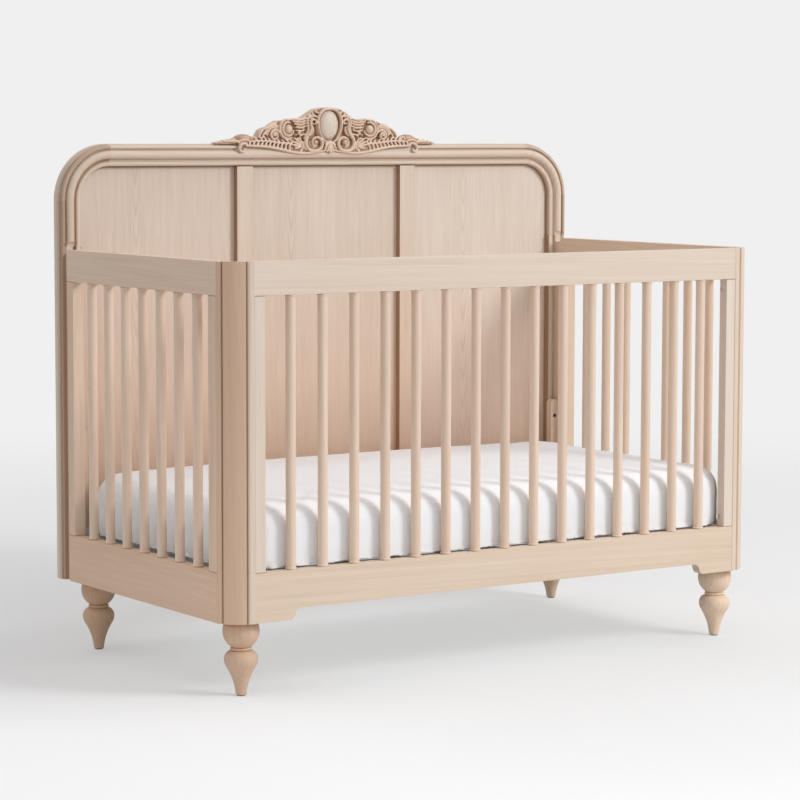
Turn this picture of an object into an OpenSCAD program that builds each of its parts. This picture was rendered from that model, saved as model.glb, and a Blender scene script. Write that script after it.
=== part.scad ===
// Full-size baby crib with a moulded, arch-cornered headboard and turned feet.
// X runs along the length, Y from the front to the headboard, Z up from the floor.
// The origin lies on the floor, in the middle of the footprint.

/* [Frame] */
// Length over the two end frames
body_w = 1400; // [1380:1:1440]
// Depth from the front frame's face to the back of the headboard
depth = 758; // [748:1:790]
// Height of the rails' lower edge above the floor, which is the height of the feet
base_z = 158; // [150:1:180]
// Height of the top of the front and end frames
rail_top = 900; // [860:1:940]
// Height of the front and end top rails
top_rail_h = 70; // [60:1:84]
// Height of the lower rails
bottom_rail_h = 104; // [94:1:112]
// Thickness of the front frame
front_t = 24; // [20:1:28]
// Thickness of the end frames
end_t = 27; // [25:1:32]
// Radius on the long edges of rails and stiles
ease_r = 1; // [0.5:0.5:2]

/* [Front frame] */
// Width of the front frame's stiles
front_stile_w = 25; // [22:1:32]
// Number of spindles in the front frame
front_spindle_count = 15; // [13:1:17]
// How far the bottom rail's lower edge rises between its two low ends
apron_rise = 24; // [16:1:32]
// Length of each low end of the bottom rail
apron_end_l = 82; // [60:1:110]
// Length of the curved step from a low end up to the raised edge
apron_step_l = 28; // [24:1:40]

/* [Corner posts] */
// Width of a corner post, seen from the front
post_w = 62.5; // [58:0.5:70]
// Depth of a corner post, seen from the end
post_d = 50; // [46:1:56]
// Radius of the two beads that edge the post's moulded corner
bead_r = 7.5; // [6:0.5:8.5]
// Distance from the post's edges to the groove bottoms
groove_in = 17; // [16:0.5:18]
// Depth of the two grooves
groove_depth = 5.5; // [4:0.5:6]
// How far the face between the grooves bows outwards
face_bulge = 4; // [2:0.5:5]

/* [End frames] */
// Width of the end frames' front stiles
end_front_stile_w = 32; // [28:1:36]
// Width of the end frames' rear stiles
end_rear_stile_w = 27.5; // [25:0.5:34]
// Number of spindles in each end frame
end_spindle_count = 7; // [6:1:8]
// Length of the tongue that meets the headboard
tongue_l = 21; // [18:1:26]
// Thickness of the tongue
tongue_t = 18; // [16:1:20]
// Radius on the end top rails' rear upper corner
rail_end_r = 9; // [6:1:12]

/* [Spindles] */
// Diameter of a spindle's shaft
spindle_d = 21; // [18:0.5:22]
// Diameter of the collar at each end of a spindle
collar_d = 24; // [22:0.5:24]
// Height of the collar
collar_h = 5; // [4:0.5:7]
// Diameter of the tenon at each end of a spindle
tenon_d = 14; // [12:0.5:16]
// Length of the tenon
tenon_l = 14; // [10:1:18]
// Radial clearance of a tenon in its socket
tenon_gap = 0.1; // [0.05:0.05:0.2]

/* [Headboard] */
// Height of the headboard's top edge
head_top = 1134; // [1100:1:1180]
// Width of the headboard's moulded frame
frame_w = 52; // [48:1:56]
// Radius of the headboard's upper corners
corner_r = 126; // [110:1:150]
// Thickness of the frame's rear slab
slab_t = 22; // [21:0.5:24]
// How far the slab shows round the moulding
slab_margin = 4; // [3:0.5:6]
// Width of the flat lip along the outer edge of the moulding
lip_w = 7; // [6:0.5:8]
// Height of the lip over the slab's front face
lip_rise = 12; // [10:0.5:13]
// Radius of the large round moulding
torus_r = 9.5; // [8.5:0.5:9.5]
// Width of the quirk between the lip and the large round moulding
quirk_w = 4; // [3:0.5:4.5]
// Width of the quirk between the two round mouldings
inner_quirk_w = 5.5; // [4.5:0.5:6]
// Radius of the small round moulding
small_bead_r = 5.25; // [4.5:0.25:5.25]
// Height over the slab of the flat face of rails, mullions and lower stiles
flat_rise = 9; // [8:0.5:10]
// Height above the floor where the stiles' moulding runs out
moulding_stop_z = 906; // [903:1:960]
// Radius of the hollow in which the moulding runs out
stop_r = 12; // [10:1:16]
// Distance from the centre line to a mullion's centre
mullion_x = 226.5; // [200:0.5:250]
// Width of a mullion
mullion_w = 43; // [36:1:50]
// Thickness of the panels
panel_t = 10; // [8:1:12]
// Depth of the panel grooves
panel_groove = 10; // [8:1:12]
// Gap between a panel's edge and the bottom of its groove
panel_gap = 1; // [0.5:0.5:2]
// Distance from the headboard's back to the panels
panel_back = 6; // [4:0.5:8]

/* [Crown] */
// Height of the crown over the headboard's top edge
crown_h = 86; // [80:1:96]
// Half of the crown's length
crown_half = 308; // [300:1:320]
// Thickness of the crown's ground
crown_t = 24; // [18:1:26]
// Distance from the headboard's slab to the front of the crown's ground
crown_proud = 10; // [8:1:12]
// Height of the carving over the crown's ground
relief_h = 14; // [11:0.5:15]
// Height over the ground of the band along the crown's lower edge
band_rise = 10; // [7:1:11]
// Half of the distance between the crown's two hooks, where the moulding's lip stops
hook_x = 235; // [230:1:245]
// Height over the slab of the plain slope under the crown, at the headboard's top edge
slope_rise = 8; // [6:0.5:9]
// Half width of the oval medallion
medallion_rx = 24; // [20:1:27]
// Half height of the oval medallion
medallion_rz = 35; // [30:1:36]
// Width of the raised rim round the medallion
medallion_rim = 7; // [5:1:8]

/* [Feet] */
// Distance from an end frame's inner face to a foot's axis
foot_in_x = 35.5; // [34:0.5:40]
// Distance from the front frame's inner face to a front foot's axis
foot_in_front = 35; // [34:0.5:40]
// Distance from the headboard to a rear foot's axis
foot_in_rear = 40; // [36:0.5:44]
// Radius of the ball under the frame
ball_r = 38.5; // [35:0.5:40]
// Height of the ball
ball_h = 56; // [50:1:58]
// Depth of the ball's widest place below its top
ball_top = 22; // [20:1:25]
// Radius of the thin ring under the ball
ring_r = 23; // [22:0.5:25]
// Height of the ring
ring_h = 6; // [5:0.5:9]
// Radius of the foot's shoulder
shoulder_r = 35.5; // [33:0.5:37]
// Height from the shoulder's widest place up to the ring
shoulder_h = 18.5; // [16:0.5:20]
// Radius of the round under the shoulder
belly_r = 30; // [26:1:32]
// Angle at which the round under the shoulder meets the taper
belly_angle = 32; // [28:1:34]
// Radius of the foot's tip
tip_r = 11; // [9:0.5:12]
// Height of the glide under the tip
glide_h = 2.5; // [2:0.5:4]
// Radius of the glide
glide_r = 8.5; // [7:0.5:9]
// Height of the blocks that hold the feet
foot_block_h = 62; // [50:1:66]

/* [Mattress and support] */
// Gap between the mattress and each end frame
mattress_side_gap = 17.5; // [10:0.5:20]
// Gap between the mattress and the front frame
mattress_front_gap = 1; // [0.5:0.5:5]
// Gap between the mattress and the headboard
mattress_rear_gap = 10; // [9:0.5:15]
// Thickness of the mattress
mattress_t = 140; // [100:1:150]
// Radius of the mattress's corners
mattress_r = 70; // [60:1:90]
// Height of the sleeping surface's underside at the lowest setting
mattress_z = 258; // [254:1:270]
// Clearance between the mattress and its support
rest_gap = 0.3; // [0.2:0.1:0.5]
// Width of the bolt pads
pad_w = 23; // [21:1:25]
// Thickness of the bolt pads
pad_t = 18; // [16:1:20]
// Height of the bolt pads' arched tops above the floor
pad_top = 497; // [490:1:520]
// Step between the three mattress heights
height_step = 100; // [80:5:105]
// Height of the lowest support bolts above the floor
support_bolt_z = 256; // [252:1:260]
// Diameter of the support bolts
support_bolt_d = 8; // [6:1:8]
// Thickness of the steel angles and hanger plates
steel_t = 3; // [2:0.5:4]
// Width of both flanges of the steel angles
angle_w = 30; // [24:1:34]
// Width of a hanger plate
hanger_w = 25; // [24:0.5:25]
// Height of a hanger plate
hanger_h = 50; // [44:1:56]
// Gap between a hanger plate and the parts around it
hanger_gap = 0.5; // [0.4:0.1:1]
// Number of cross slats under the mattress
slat_count = 9; // [7:1:11]
// Width of a cross slat
slat_w = 30; // [24:1:36]
// Thickness of a cross slat
slat_t = 2; // [1.5:0.5:3]

/* [Fasteners] */
// Diameter of the frame bolts
frame_bolt_d = 6; // [5:1:6]
// Height of the front frame's lower bolts above the floor
front_bolt_low_z = 284; // [280:1:300]
// Height of the front frame's upper bolts above the floor
front_bolt_high_z = 808; // [780:1:812]
// Distance from the front face to the front frame's bolts
front_bolt_in = 17; // [14:0.5:17]
// Diameter of the front frame's counterbores
front_counterbore_d = 10.5; // [10.5:0.5:12]
// Heights of the headboard's bolts above the floor
head_bolt_z = [210, 532, 865];
// Diameter of the headboard bolts' counterbores
head_counterbore_d = 14; // [13:0.5:15]
// Clearance round bolts and inserts
bolt_gap = 0.2; // [0.1:0.1:0.3]

/* [Hidden] */

wood = "#DCCBB8";
panel_wood = "#D4C4B2";
turned_wood = "#CDB294";
carved_wood = "#C9AE93";
steel = "#9EA3A8";
zinc = "#C2B88F";
nylon = "#E4E0D8";
sheet_white = "#F4F4F2";

front_y = -depth / 2;
back_y = depth / 2;
half_w = body_w / 2;
inner_x = half_w - end_t;
seam_x = half_w - post_w;
front_inner_y = front_y + front_t;
post_end_y = front_y + post_d;
head_face_y = back_y - slab_t - flat_rise;
end_rear_y = head_face_y - tongue_l;
low_rail_top = base_z + bottom_rail_h;
top_rail_z = rail_top - top_rail_h;
mid_y = (front_inner_y + head_face_y) / 2;
tongue_x = inner_x + tongue_t / 2;

head_half = half_w + slab_margin;
corner_z = head_top - corner_r;
opening_x = head_half - frame_w;
opening_top = head_top - frame_w;
torus_in = slab_margin + lip_w + quirk_w + torus_r;
torus_centre = slab_t + lip_rise - 4.5;
small_bead_in = torus_in + torus_r + inner_quirk_w + small_bead_r;
recess_in = head_half - inner_x;
recess_w = 9;
recess_d = 7;

foot_x = inner_x - foot_in_x;
front_foot_y = front_inner_y + foot_in_front;
rear_foot_y = head_face_y - foot_in_rear;
block_top = base_z + foot_block_h;
stud_d = 8;
stud_up = 32;
stud_down = 30;

pad_x = inner_x - pad_w / 2;
insert_d = support_bolt_d + 4;
insert_l = 15;
support_top = mattress_z - rest_gap;
angle_top = support_top - slat_t;
hanger_out_x = inner_x - 1;
hanger_in_x = hanger_out_x - hanger_w;
side_rail_x = hanger_in_x + steel_t;
flange_x = side_rail_x - angle_w;
hanger_y = front_inner_y + pad_t + hanger_gap;
rail_y = hanger_y + steel_t;
bolt_head_d = support_bolt_d + 7;
bolt_head_h = 5;
frame_insert_d = frame_bolt_d + 3;
frame_insert_l = 14;
front_head_d = front_counterbore_d - 1;
front_counterbore_l = 8;
front_head_h = 6;
head_counterbore_l = 8;

fine = 96;

// Even places for a row of n pieces of width d between a and b
function spread(a, b, n, d) = [for (i = [1:n]) a + i * (b - a + d) / (n + 1) - d / 2];

// ---- Helpers ----

// Rectangle with eased corners
module eased_rect(size, r = ease_r) {
    translate([r, 0]) square([size.x - 2 * r, size.y]);
    translate([0, r]) square([size.x, size.y - 2 * r]);
    for (x = [r, size.x - r], y = [r, size.y - r])
        translate([x, y]) circle(r = r, $fn = 24);
}

// Straight bars between two opposite corners a and b, with eased long edges
module bar_x(a, b, r = ease_r)
    translate(a) rotate([90, 0, 90]) linear_extrude(b.x - a.x) eased_rect([b.y - a.y, b.z - a.z], r);

module bar_y(a, b, r = ease_r)
    translate([a.x, b.y, a.z]) rotate([90, 0, 0]) linear_extrude(b.y - a.y)
        eased_rect([b.x - a.x, b.z - a.z], r);

module bar_z(a, b, r = ease_r)
    translate(a) linear_extrude(b.z - a.z) eased_rect([b.x - a.x, b.y - a.y], r);

module box(a, b)
    translate(a) cube([b.x - a.x, b.y - a.y, b.z - a.z]);

// Round rods that start at p and run l along +X, +Y or +Z
module rod_x(p, l, r)
    translate(p) rotate([0, 90, 0]) cylinder(h = l, r = r, $fn = 48);

module rod_y(p, l, r)
    translate(p) rotate([-90, 0, 0]) cylinder(h = l, r = r, $fn = 48);

module rod_z(p, l, r)
    translate(p) cylinder(h = l, r = r, $fn = 48);

module left() mirror([1, 0, 0]) children();

module both_ends() {
    children();
    left() children();
}

// The rear copy of what stands in the front of the sleeping space
module rear() translate([0, 2 * mid_y, 0]) mirror([0, 1, 0]) children();

module all_corners() {
    both_ends() children();
    both_ends() rear() children();
}

// ---- Spindles ----

module collar()
    rotate_extrude($fn = 48) {
        square([collar_d / 2 - collar_h / 2, collar_h]);
        translate([collar_d / 2 - collar_h / 2, collar_h / 2]) circle(d = collar_h, $fn = 24);
    }

// A turned spindle between the two rails, with a tenon in each of them
module spindle(x, y) {
    length = top_rail_z - low_rail_top;
    translate([x, y, low_rail_top]) {
        translate([0, 0, -tenon_l]) cylinder(h = length + 2 * tenon_l, d = tenon_d, $fn = 48);
        cylinder(h = length, d = spindle_d, $fn = 48);
        collar();
        translate([0, 0, length]) mirror([0, 0, 1]) collar();
    }
}

// Sockets for the tenons of one spindle, in both rails
module sockets(x, y) {
    depth_in = tenon_l + 1;
    rod_z([x, y, low_rail_top - depth_in], depth_in + 1, tenon_d / 2 + tenon_gap);
    rod_z([x, y, top_rail_z - 1], depth_in + 1, tenon_d / 2 + tenon_gap);
}

front_spindle_x = spread(
    front_stile_w - seam_x, seam_x - front_stile_w, front_spindle_count, spindle_d);
end_spindle_y = spread(
    post_end_y + end_front_stile_w, end_rear_y - end_rear_stile_w, end_spindle_count, spindle_d);
front_mid_y = front_y + front_t / 2;
end_mid_x = half_w - end_t / 2;

module front_spindles()
    color(wood) for (x = front_spindle_x) spindle(x, front_mid_y);

module end_spindles()
    color(wood) for (y = end_spindle_y) spindle(end_mid_x, y);

module left_end_spindles() left() end_spindles();
module right_end_spindles() end_spindles();

// ---- Front frame ----

module front_top_rail()
    color(wood) difference() {
        bar_x([-seam_x, front_y, top_rail_z], [seam_x, front_inner_y, rail_top]);
        for (x = front_spindle_x) sockets(x, front_mid_y);
    }

// Outline of what the apron's raised lower edge takes off one half of the rail
module apron_cut() {
    step_r = (pow(apron_step_l, 2) + pow(apron_rise, 2)) / (4 * apron_rise);
    half_l = apron_step_l / 2;
    end_x = seam_x - apron_end_l;
    top_z = base_z + apron_rise;
    translate([0, base_z - 1]) square([end_x - apron_step_l, apron_rise + 1]);
    intersection() {
        translate([end_x - apron_step_l, base_z - 1]) square([half_l, apron_rise + 1]);
        union() {
            translate([end_x - apron_step_l, top_z - step_r]) circle(r = step_r, $fn = fine);
            translate([end_x - apron_step_l, base_z - 1]) square([half_l, top_z - step_r - base_z + 1]);
        }
    }
    difference() {
        translate([end_x - half_l, base_z - 1]) square([half_l, apron_rise / 2 + 1]);
        translate([end_x, base_z + step_r]) circle(r = step_r, $fn = fine);
    }
}

module front_bottom_rail()
    color(wood) difference() {
        bar_x([-seam_x, front_y, base_z], [seam_x, front_inner_y, low_rail_top]);
        both_ends() translate([0, front_inner_y + 1, 0]) rotate([90, 0, 0])
            linear_extrude(front_t + 2) apron_cut();
        for (x = front_spindle_x) sockets(x, front_mid_y);
    }

front_bolt_z = [front_bolt_low_z, front_bolt_high_z];
front_bolt_y = front_y + front_bolt_in;
front_stile_x = seam_x - front_stile_w;

module front_stile()
    color(wood) difference() {
        bar_z([front_stile_x, front_y, low_rail_top], [seam_x, front_inner_y, top_rail_z]);
        for (z = front_bolt_z) {
            rod_x([front_stile_x - 1, front_bolt_y, z], front_counterbore_l + 1, front_counterbore_d / 2);
            rod_x([front_stile_x, front_bolt_y, z], front_stile_w + 1, frame_bolt_d / 2 + bolt_gap);
        }
    }

module front_left_stile() left() front_stile();
module front_right_stile() front_stile();

module front_frame_bolts() {
    seat_x = front_stile_x + front_counterbore_l;
    color(zinc) both_ends() for (z = front_bolt_z) {
        rod_x([seat_x - front_head_h, front_bolt_y, z], front_head_h, front_head_d / 2);
        rod_x([seat_x, front_bolt_y, z], seam_x - seat_x + frame_insert_l, frame_bolt_d / 2);
    }
}

module front_frame_inserts()
    color(zinc) both_ends() for (z = front_bolt_z) difference() {
        rod_x([seam_x, front_bolt_y, z], frame_insert_l, frame_insert_d / 2);
        rod_x([seam_x - 1, front_bolt_y, z], frame_insert_l + 2, frame_bolt_d / 2 + bolt_gap / 2);
    }

// ---- Corner posts ----

// Section of the right-hand post, from the seam with the front frame outwards
module post_section() {
    groove_a = [groove_in, groove_depth];
    groove_b = [post_w - groove_depth - 3.5, post_d - groove_in + 4.5];
    face_a = groove_a + [2.5, -3];
    face_b = groove_b + [2, -2.5];
    chord = face_b - face_a;
    half_chord = norm(chord) / 2;
    face_r = (pow(half_chord, 2) + pow(face_bulge, 2)) / (2 * face_bulge);
    out = [chord.y, -chord.x] / norm(chord);
    face_centre = (face_a + face_b) / 2 - out * (face_r - face_bulge);
    leg_x = post_w - end_t;
    square([bead_r + 1, front_t]);
    translate([bead_r + 1, bead_r]) circle(r = bead_r, $fn = fine);
    translate([leg_x, post_d - bead_r / 2]) square([end_t, bead_r / 2]);
    translate([post_w - bead_r, post_d - bead_r / 2]) circle(r = bead_r, $fn = fine);
    polygon([
        [0, bead_r], groove_a, face_a, face_b, groove_b,
        [post_w - bead_r, post_d - bead_r / 2], [leg_x, post_d], [leg_x, front_t], [0, front_t]
    ]);
    intersection() {
        translate(face_centre) circle(r = face_r, $fn = fine);
        polygon([face_a, face_b, face_b + out * 10, face_a + out * 10]);
    }
}

module corner_post()
    color(wood) difference() {
        translate([seam_x, front_y, base_z]) linear_extrude(rail_top - base_z) intersection() {
            post_section();
            square([post_w, post_d]);
        }
        for (z = front_bolt_z)
            rod_x([seam_x - 1, front_bolt_y, z], frame_insert_l + 3, frame_insert_d / 2 + bolt_gap / 2);
    }

module left_corner_post() left() corner_post();
module right_corner_post() corner_post();

// ---- End frames ----

// The tongue with which a piece of the end frame runs on to the headboard
module tongue(z0, z1)
    box([inner_x, end_rear_y, z0], [inner_x + tongue_t, head_face_y, z1]);

// Holes for the threaded inserts of the headboard bolts
module head_insert_holes()
    for (z = head_bolt_z)
        rod_y([tongue_x, head_face_y - frame_insert_l - 3, z], frame_insert_l + 4,
            frame_insert_d / 2 + bolt_gap / 2);

module end_top_rail()
    color(wood) difference() {
        union() {
            difference() {
                bar_y([inner_x, post_end_y, top_rail_z], [half_w, end_rear_y, rail_top]);
                translate([inner_x - 1, end_rear_y - rail_end_r, rail_top - rail_end_r]) difference() {
                    cube([end_t + 2, rail_end_r + 1, rail_end_r + 1]);
                    rod_x([-1, 0, 0], end_t + 4, rail_end_r);
                }
            }
            tongue(top_rail_z, rail_top - rail_end_r);
        }
        for (y = end_spindle_y) sockets(end_mid_x, y);
        head_insert_holes();
    }

module end_bottom_rail()
    color(wood) difference() {
        union() {
            bar_y([inner_x, post_end_y, base_z], [half_w, end_rear_y, low_rail_top]);
            tongue(base_z, low_rail_top);
        }
        for (y = end_spindle_y) sockets(end_mid_x, y);
        head_insert_holes();
    }

module end_front_stile()
    color(wood) bar_z([inner_x, post_end_y, low_rail_top],
        [half_w, post_end_y + end_front_stile_w, top_rail_z]);

module end_rear_stile()
    color(wood) difference() {
        union() {
            bar_z([inner_x, end_rear_y - end_rear_stile_w, low_rail_top], [half_w, end_rear_y, top_rail_z]);
            tongue(low_rail_top, top_rail_z);
        }
        head_insert_holes();
    }

module left_end_top_rail() left() end_top_rail();
module right_end_top_rail() end_top_rail();
module left_end_bottom_rail() left() end_bottom_rail();
module right_end_bottom_rail() end_bottom_rail();
module left_end_front_stile() left() end_front_stile();
module right_end_front_stile() end_front_stile();
module left_end_rear_stile() left() end_rear_stile();
module right_end_rear_stile() end_rear_stile();

// ---- Headboard ----
// Sections run from the outer edge inwards (x) and from the back forwards (y).

module panel_groove_section()
    translate([frame_w - panel_groove, panel_back]) square([panel_groove + 1, panel_t]);

module moulded_section()
    difference() {
        union() {
            square([frame_w, slab_t - 3]);
            square([frame_w - 2, slab_t]);
            translate([slab_margin, 0]) eased_rect([lip_w, slab_t + lip_rise], 2);
            translate([slab_margin + lip_w - 2, 0]) square([quirk_w + 4, slab_t + lip_rise - 5]);
            translate([torus_in, torus_centre]) circle(r = torus_r, $fn = fine);
            translate([torus_in - torus_r, slab_t - 1]) square([2 * torus_r, torus_centre - slab_t + 1]);
            translate([torus_in, slab_t - 1]) square([torus_r + inner_quirk_w + small_bead_r, 6]);
            translate([small_bead_in, slab_t + flat_rise + 0.5 - small_bead_r])
                circle(r = small_bead_r, $fn = fine);
        }
        panel_groove_section();
    }

module flat_section()
    difference() {
        union() {
            square([frame_w, slab_t]);
            translate([slab_margin, 0]) eased_rect([frame_w - slab_margin, slab_t + flat_rise]);
        }
        translate([recess_in, slab_t + flat_rise - recess_d]) square([recess_w, recess_d + 1]);
        panel_groove_section();
    }

// Bolt holes of the headboard, right-hand side
module head_bolt_holes()
    for (z = head_bolt_z) {
        rod_y([tongue_x, back_y - head_counterbore_l, z], head_counterbore_l + 1, head_counterbore_d / 2);
        rod_y([tongue_x, head_face_y - 1, z], back_y - head_face_y + 2, frame_bolt_d / 2 + bolt_gap);
    }

module head_stile()
    color(wood) difference() {
        translate([head_half, back_y, 0]) rotate([0, 0, 180]) {
            translate([0, 0, base_z]) linear_extrude(moulding_stop_z - base_z) flat_section();
            difference() {
                translate([0, 0, moulding_stop_z]) linear_extrude(corner_z - moulding_stop_z)
                    moulded_section();
                rod_x([-1, slab_t + flat_rise + stop_r, moulding_stop_z], frame_w + 2, stop_r);
            }
        }
        head_bolt_holes();
    }

module head_corner()
    color(wood) translate([head_half - corner_r, back_y, corner_z]) rotate([90, 0, 0])
        rotate_extrude(angle = 90, $fn = fine) translate([corner_r, 0]) mirror([1, 0]) moulded_section();

module headboard_left_stile() left() head_stile();
module headboard_right_stile() head_stile();
module headboard_left_corner() left() head_corner();
module headboard_right_corner() head_corner();

// The moulded section run along X under the headboard's top edge
module top_moulding(l)
    translate([0, back_y, head_top]) rotate([0, -90, 0]) rotate([0, 0, 180])
        linear_extrude(l, center = true) children();

// The part of the lip and quirk that is left out between the crown's hooks
module lip_gap()
    top_moulding(2 * hook_x) translate([-1, slab_t])
        square([torus_in - torus_r + 0.5, torus_centre + torus_r]);

// The plain slope that takes their place, from the top edge down to the large round moulding
module crown_slope() {
    slope_in = torus_in - 4;
    slope_v = torus_centre + sqrt(pow(torus_r, 2) - 16);
    top_moulding(2 * hook_x) polygon([
        [0, slab_t - 1], [0, slab_t + slope_rise], [slope_in, slope_v], [slope_in, slab_t - 1]
    ]);
}

module headboard_top_rail()
    color(wood) {
        difference() {
            top_moulding(2 * (head_half - corner_r)) moulded_section();
            lip_gap();
        }
        crown_slope();
    }

module headboard_bottom_rail()
    color(wood) difference() {
        bar_x([-opening_x, head_face_y, base_z], [opening_x, back_y, low_rail_top]);
        box([-opening_x - 1, back_y - panel_back - panel_t, low_rail_top - panel_groove],
            [opening_x + 1, back_y - panel_back, low_rail_top + 1]);
    }

module head_mullion() {
    left_x = mullion_x - mullion_w / 2;
    right_x = mullion_x + mullion_w / 2;
    panel_y = back_y - panel_back - panel_t;
    color(wood) difference() {
        bar_z([left_x, head_face_y, low_rail_top], [right_x, back_y, opening_top]);
        for (x = [left_x - 1, right_x - panel_groove])
            box([x, panel_y, low_rail_top - 1], [x + panel_groove + 1, panel_y + panel_t, opening_top + 1]);
    }
}

module headboard_left_mullion() left() head_mullion();
module headboard_right_mullion() head_mullion();

panel_in = panel_groove - panel_gap;
panel_z0 = low_rail_top - panel_in;
panel_z1 = opening_top + panel_in;

// Stands an outline drawn in X and Z up as a panel
module stand_panel()
    translate([0, back_y - panel_back, 0]) rotate([90, 0, 0]) linear_extrude(panel_t) children();

module side_panel() {
    x0 = mullion_x + mullion_w / 2 - panel_in;
    x1 = opening_x + panel_in;
    arc_r = corner_r - frame_w + panel_in;
    color(panel_wood) stand_panel() {
        translate([x0, panel_z0]) square([x1 - x0, corner_z - panel_z0]);
        translate([x0, panel_z0]) square([x1 - arc_r - x0, panel_z1 - panel_z0]);
        translate([x1 - arc_r, corner_z]) circle(r = arc_r, $fn = fine);
    }
}

module left_panel() left() side_panel();
module right_panel() side_panel();

module center_panel() {
    half = mullion_x - mullion_w / 2 + panel_in;
    color(panel_wood) stand_panel()
        translate([-half, panel_z0]) square([2 * half, panel_z1 - panel_z0]);
}

module headboard_bolts() {
    seat_y = back_y - head_counterbore_l;
    color(zinc) both_ends() for (z = head_bolt_z) {
        rod_y([tongue_x, seat_y, z], head_counterbore_l - 2, head_counterbore_d / 2 - 0.5);
        rod_y([tongue_x, head_face_y - frame_insert_l, z], seat_y - head_face_y + frame_insert_l,
            frame_bolt_d / 2);
    }
}

module headboard_inserts()
    color(zinc) both_ends() for (z = head_bolt_z) difference() {
        rod_y([tongue_x, head_face_y - frame_insert_l, z], frame_insert_l, frame_insert_d / 2);
        rod_y([tongue_x, head_face_y - frame_insert_l - 1, z], frame_insert_l + 2,
            frame_bolt_d / 2 + bolt_gap / 2);
    }

// ---- Crown ----
// The crown stands on the top rail. Its carving lies over the plain slope between the hooks, and
// its two tips lap over the moulding's lip.

crown_front = slab_t + crown_proud;
medallion_z = crown_h - medallion_rz - medallion_rim;

// Right half of the crown's outline, with z = 0 at the headboard's top edge
module crown_half_outline()
    polygon([
        [0, -18], [30, -20], [70, -24], [110, -20], [143, -13], [178, -8], [215, -7], [235, -14],
        [244, -20], [252, -10], [crown_half - 28, 0], [crown_half, 0], [crown_half, 3],
        [crown_half - 28, 7], [250, 13], [238, 19], [226, 21], [213, 17], [198, 12], [181, 35],
        [159, 39], [148, 48], [135, 54], [77, 56], [60, 66], [44, 77], [30, crown_h - 4],
        [16, crown_h - 1], [0, crown_h]
    ]);

// Stands an outline up as a layer between two distances from the headboard's back
module crown_layer(from, to)
    translate([0, back_y - from, head_top]) rotate([90, 0, 0]) linear_extrude(to - from) children();

// A scroll: a raised ring on a round foot, with a ball in its eye
module scroll(x, z, r)
    translate([x, back_y - crown_front + 1, head_top + z]) rotate([90, 0, 0]) {
        cylinder(h = band_rise + 1, r = r - 1, $fn = 48);
        translate([0, 0, band_rise + 1]) rotate_extrude($fn = 48)
            translate([r - 3, 0]) circle(r = 3, $fn = 24);
        cylinder(h = relief_h + 1, r = r / 3, $fn = 32);
    }

// A pointed leaf between two arcs
module leaf(x, z, angle, l, w) {
    arc_r = (pow(l / 2, 2) + pow(w / 2, 2)) / w;
    crown_layer(crown_front - 1, crown_front + relief_h - 1.5)
        translate([x, z]) rotate(angle) intersection() {
            translate([0, arc_r - w / 2]) circle(r = arc_r, $fn = fine);
            translate([0, w / 2 - arc_r]) circle(r = arc_r, $fn = fine);
        }
}

module crown_half() {
    crown_layer(crown_front - crown_t, crown_front) crown_half_outline();
    crown_layer(crown_front - 2, crown_front + band_rise) intersection() {
        crown_half_outline();
        translate([0, -40]) square([crown_half - 28, 43]);
    }
    scroll(39, 2, 15);
    scroll(113, 32, 16);
    scroll(152, 20, 12);
    scroll(52, 46, 10);
    // leaves on the ground, then the row of small lobes along the lower edge
    leaf(82, 18, 40, 44, 12);
    leaf(186, 6, 20, 36, 9);
    leaf(280, 4, -2, 46, 6);
    leaf(56, 66, -38, 36, 9);
    leaf(84, 46, 10, 40, 9);
    leaf(132, 46, -20, 26, 8);
    for (i = [0:5])
        leaf(70 + 25 * i, -12 + 2.8 * i, 52, 22, 8);
    // the small dome over the hook, and the hook's bud
    translate([238, back_y - crown_front, head_top + 6]) scale([22, 12, 14]) sphere(r = 1, $fn = 40);
    translate([245, back_y - crown_front - band_rise + 3, head_top - 13]) sphere(r = 6, $fn = 32);
}

// Where the top rail is, so that the crown fits over it
module crown_seat() {
    difference() {
        top_moulding(2 * crown_half + 10) {
            square([frame_w, slab_t]);
            translate([slab_margin, 0]) square([frame_w, slab_t + lip_rise]);
            translate([torus_in, torus_centre]) circle(r = torus_r + 0.1, $fn = fine);
        }
        lip_gap();
    }
    crown_slope();
}

module medallion_outline(grow)
    translate([0, medallion_z]) scale([medallion_rx + grow, medallion_rz + grow])
        circle(r = 1, $fn = 64);

module crown_carving()
    color(carved_wood) difference() {
        union() {
            both_ends() crown_half();
            crown_layer(crown_front - 1, crown_front + relief_h - 1) medallion_outline(medallion_rim);
        }
        crown_layer(crown_front - 6, crown_front + relief_h + 1) medallion_outline(0.3);
        crown_seat();
    }

module crown_medallion()
    color(carved_wood) translate([0, back_y - crown_front + 6, head_top + medallion_z])
        rotate([90, 0, 0]) intersection() {
            scale([medallion_rx, medallion_rz, 6 + relief_h]) sphere(r = 1, $fn = 40);
            translate([-50, -50, 0]) cube(100);
        }

// ---- Feet ----

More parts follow.
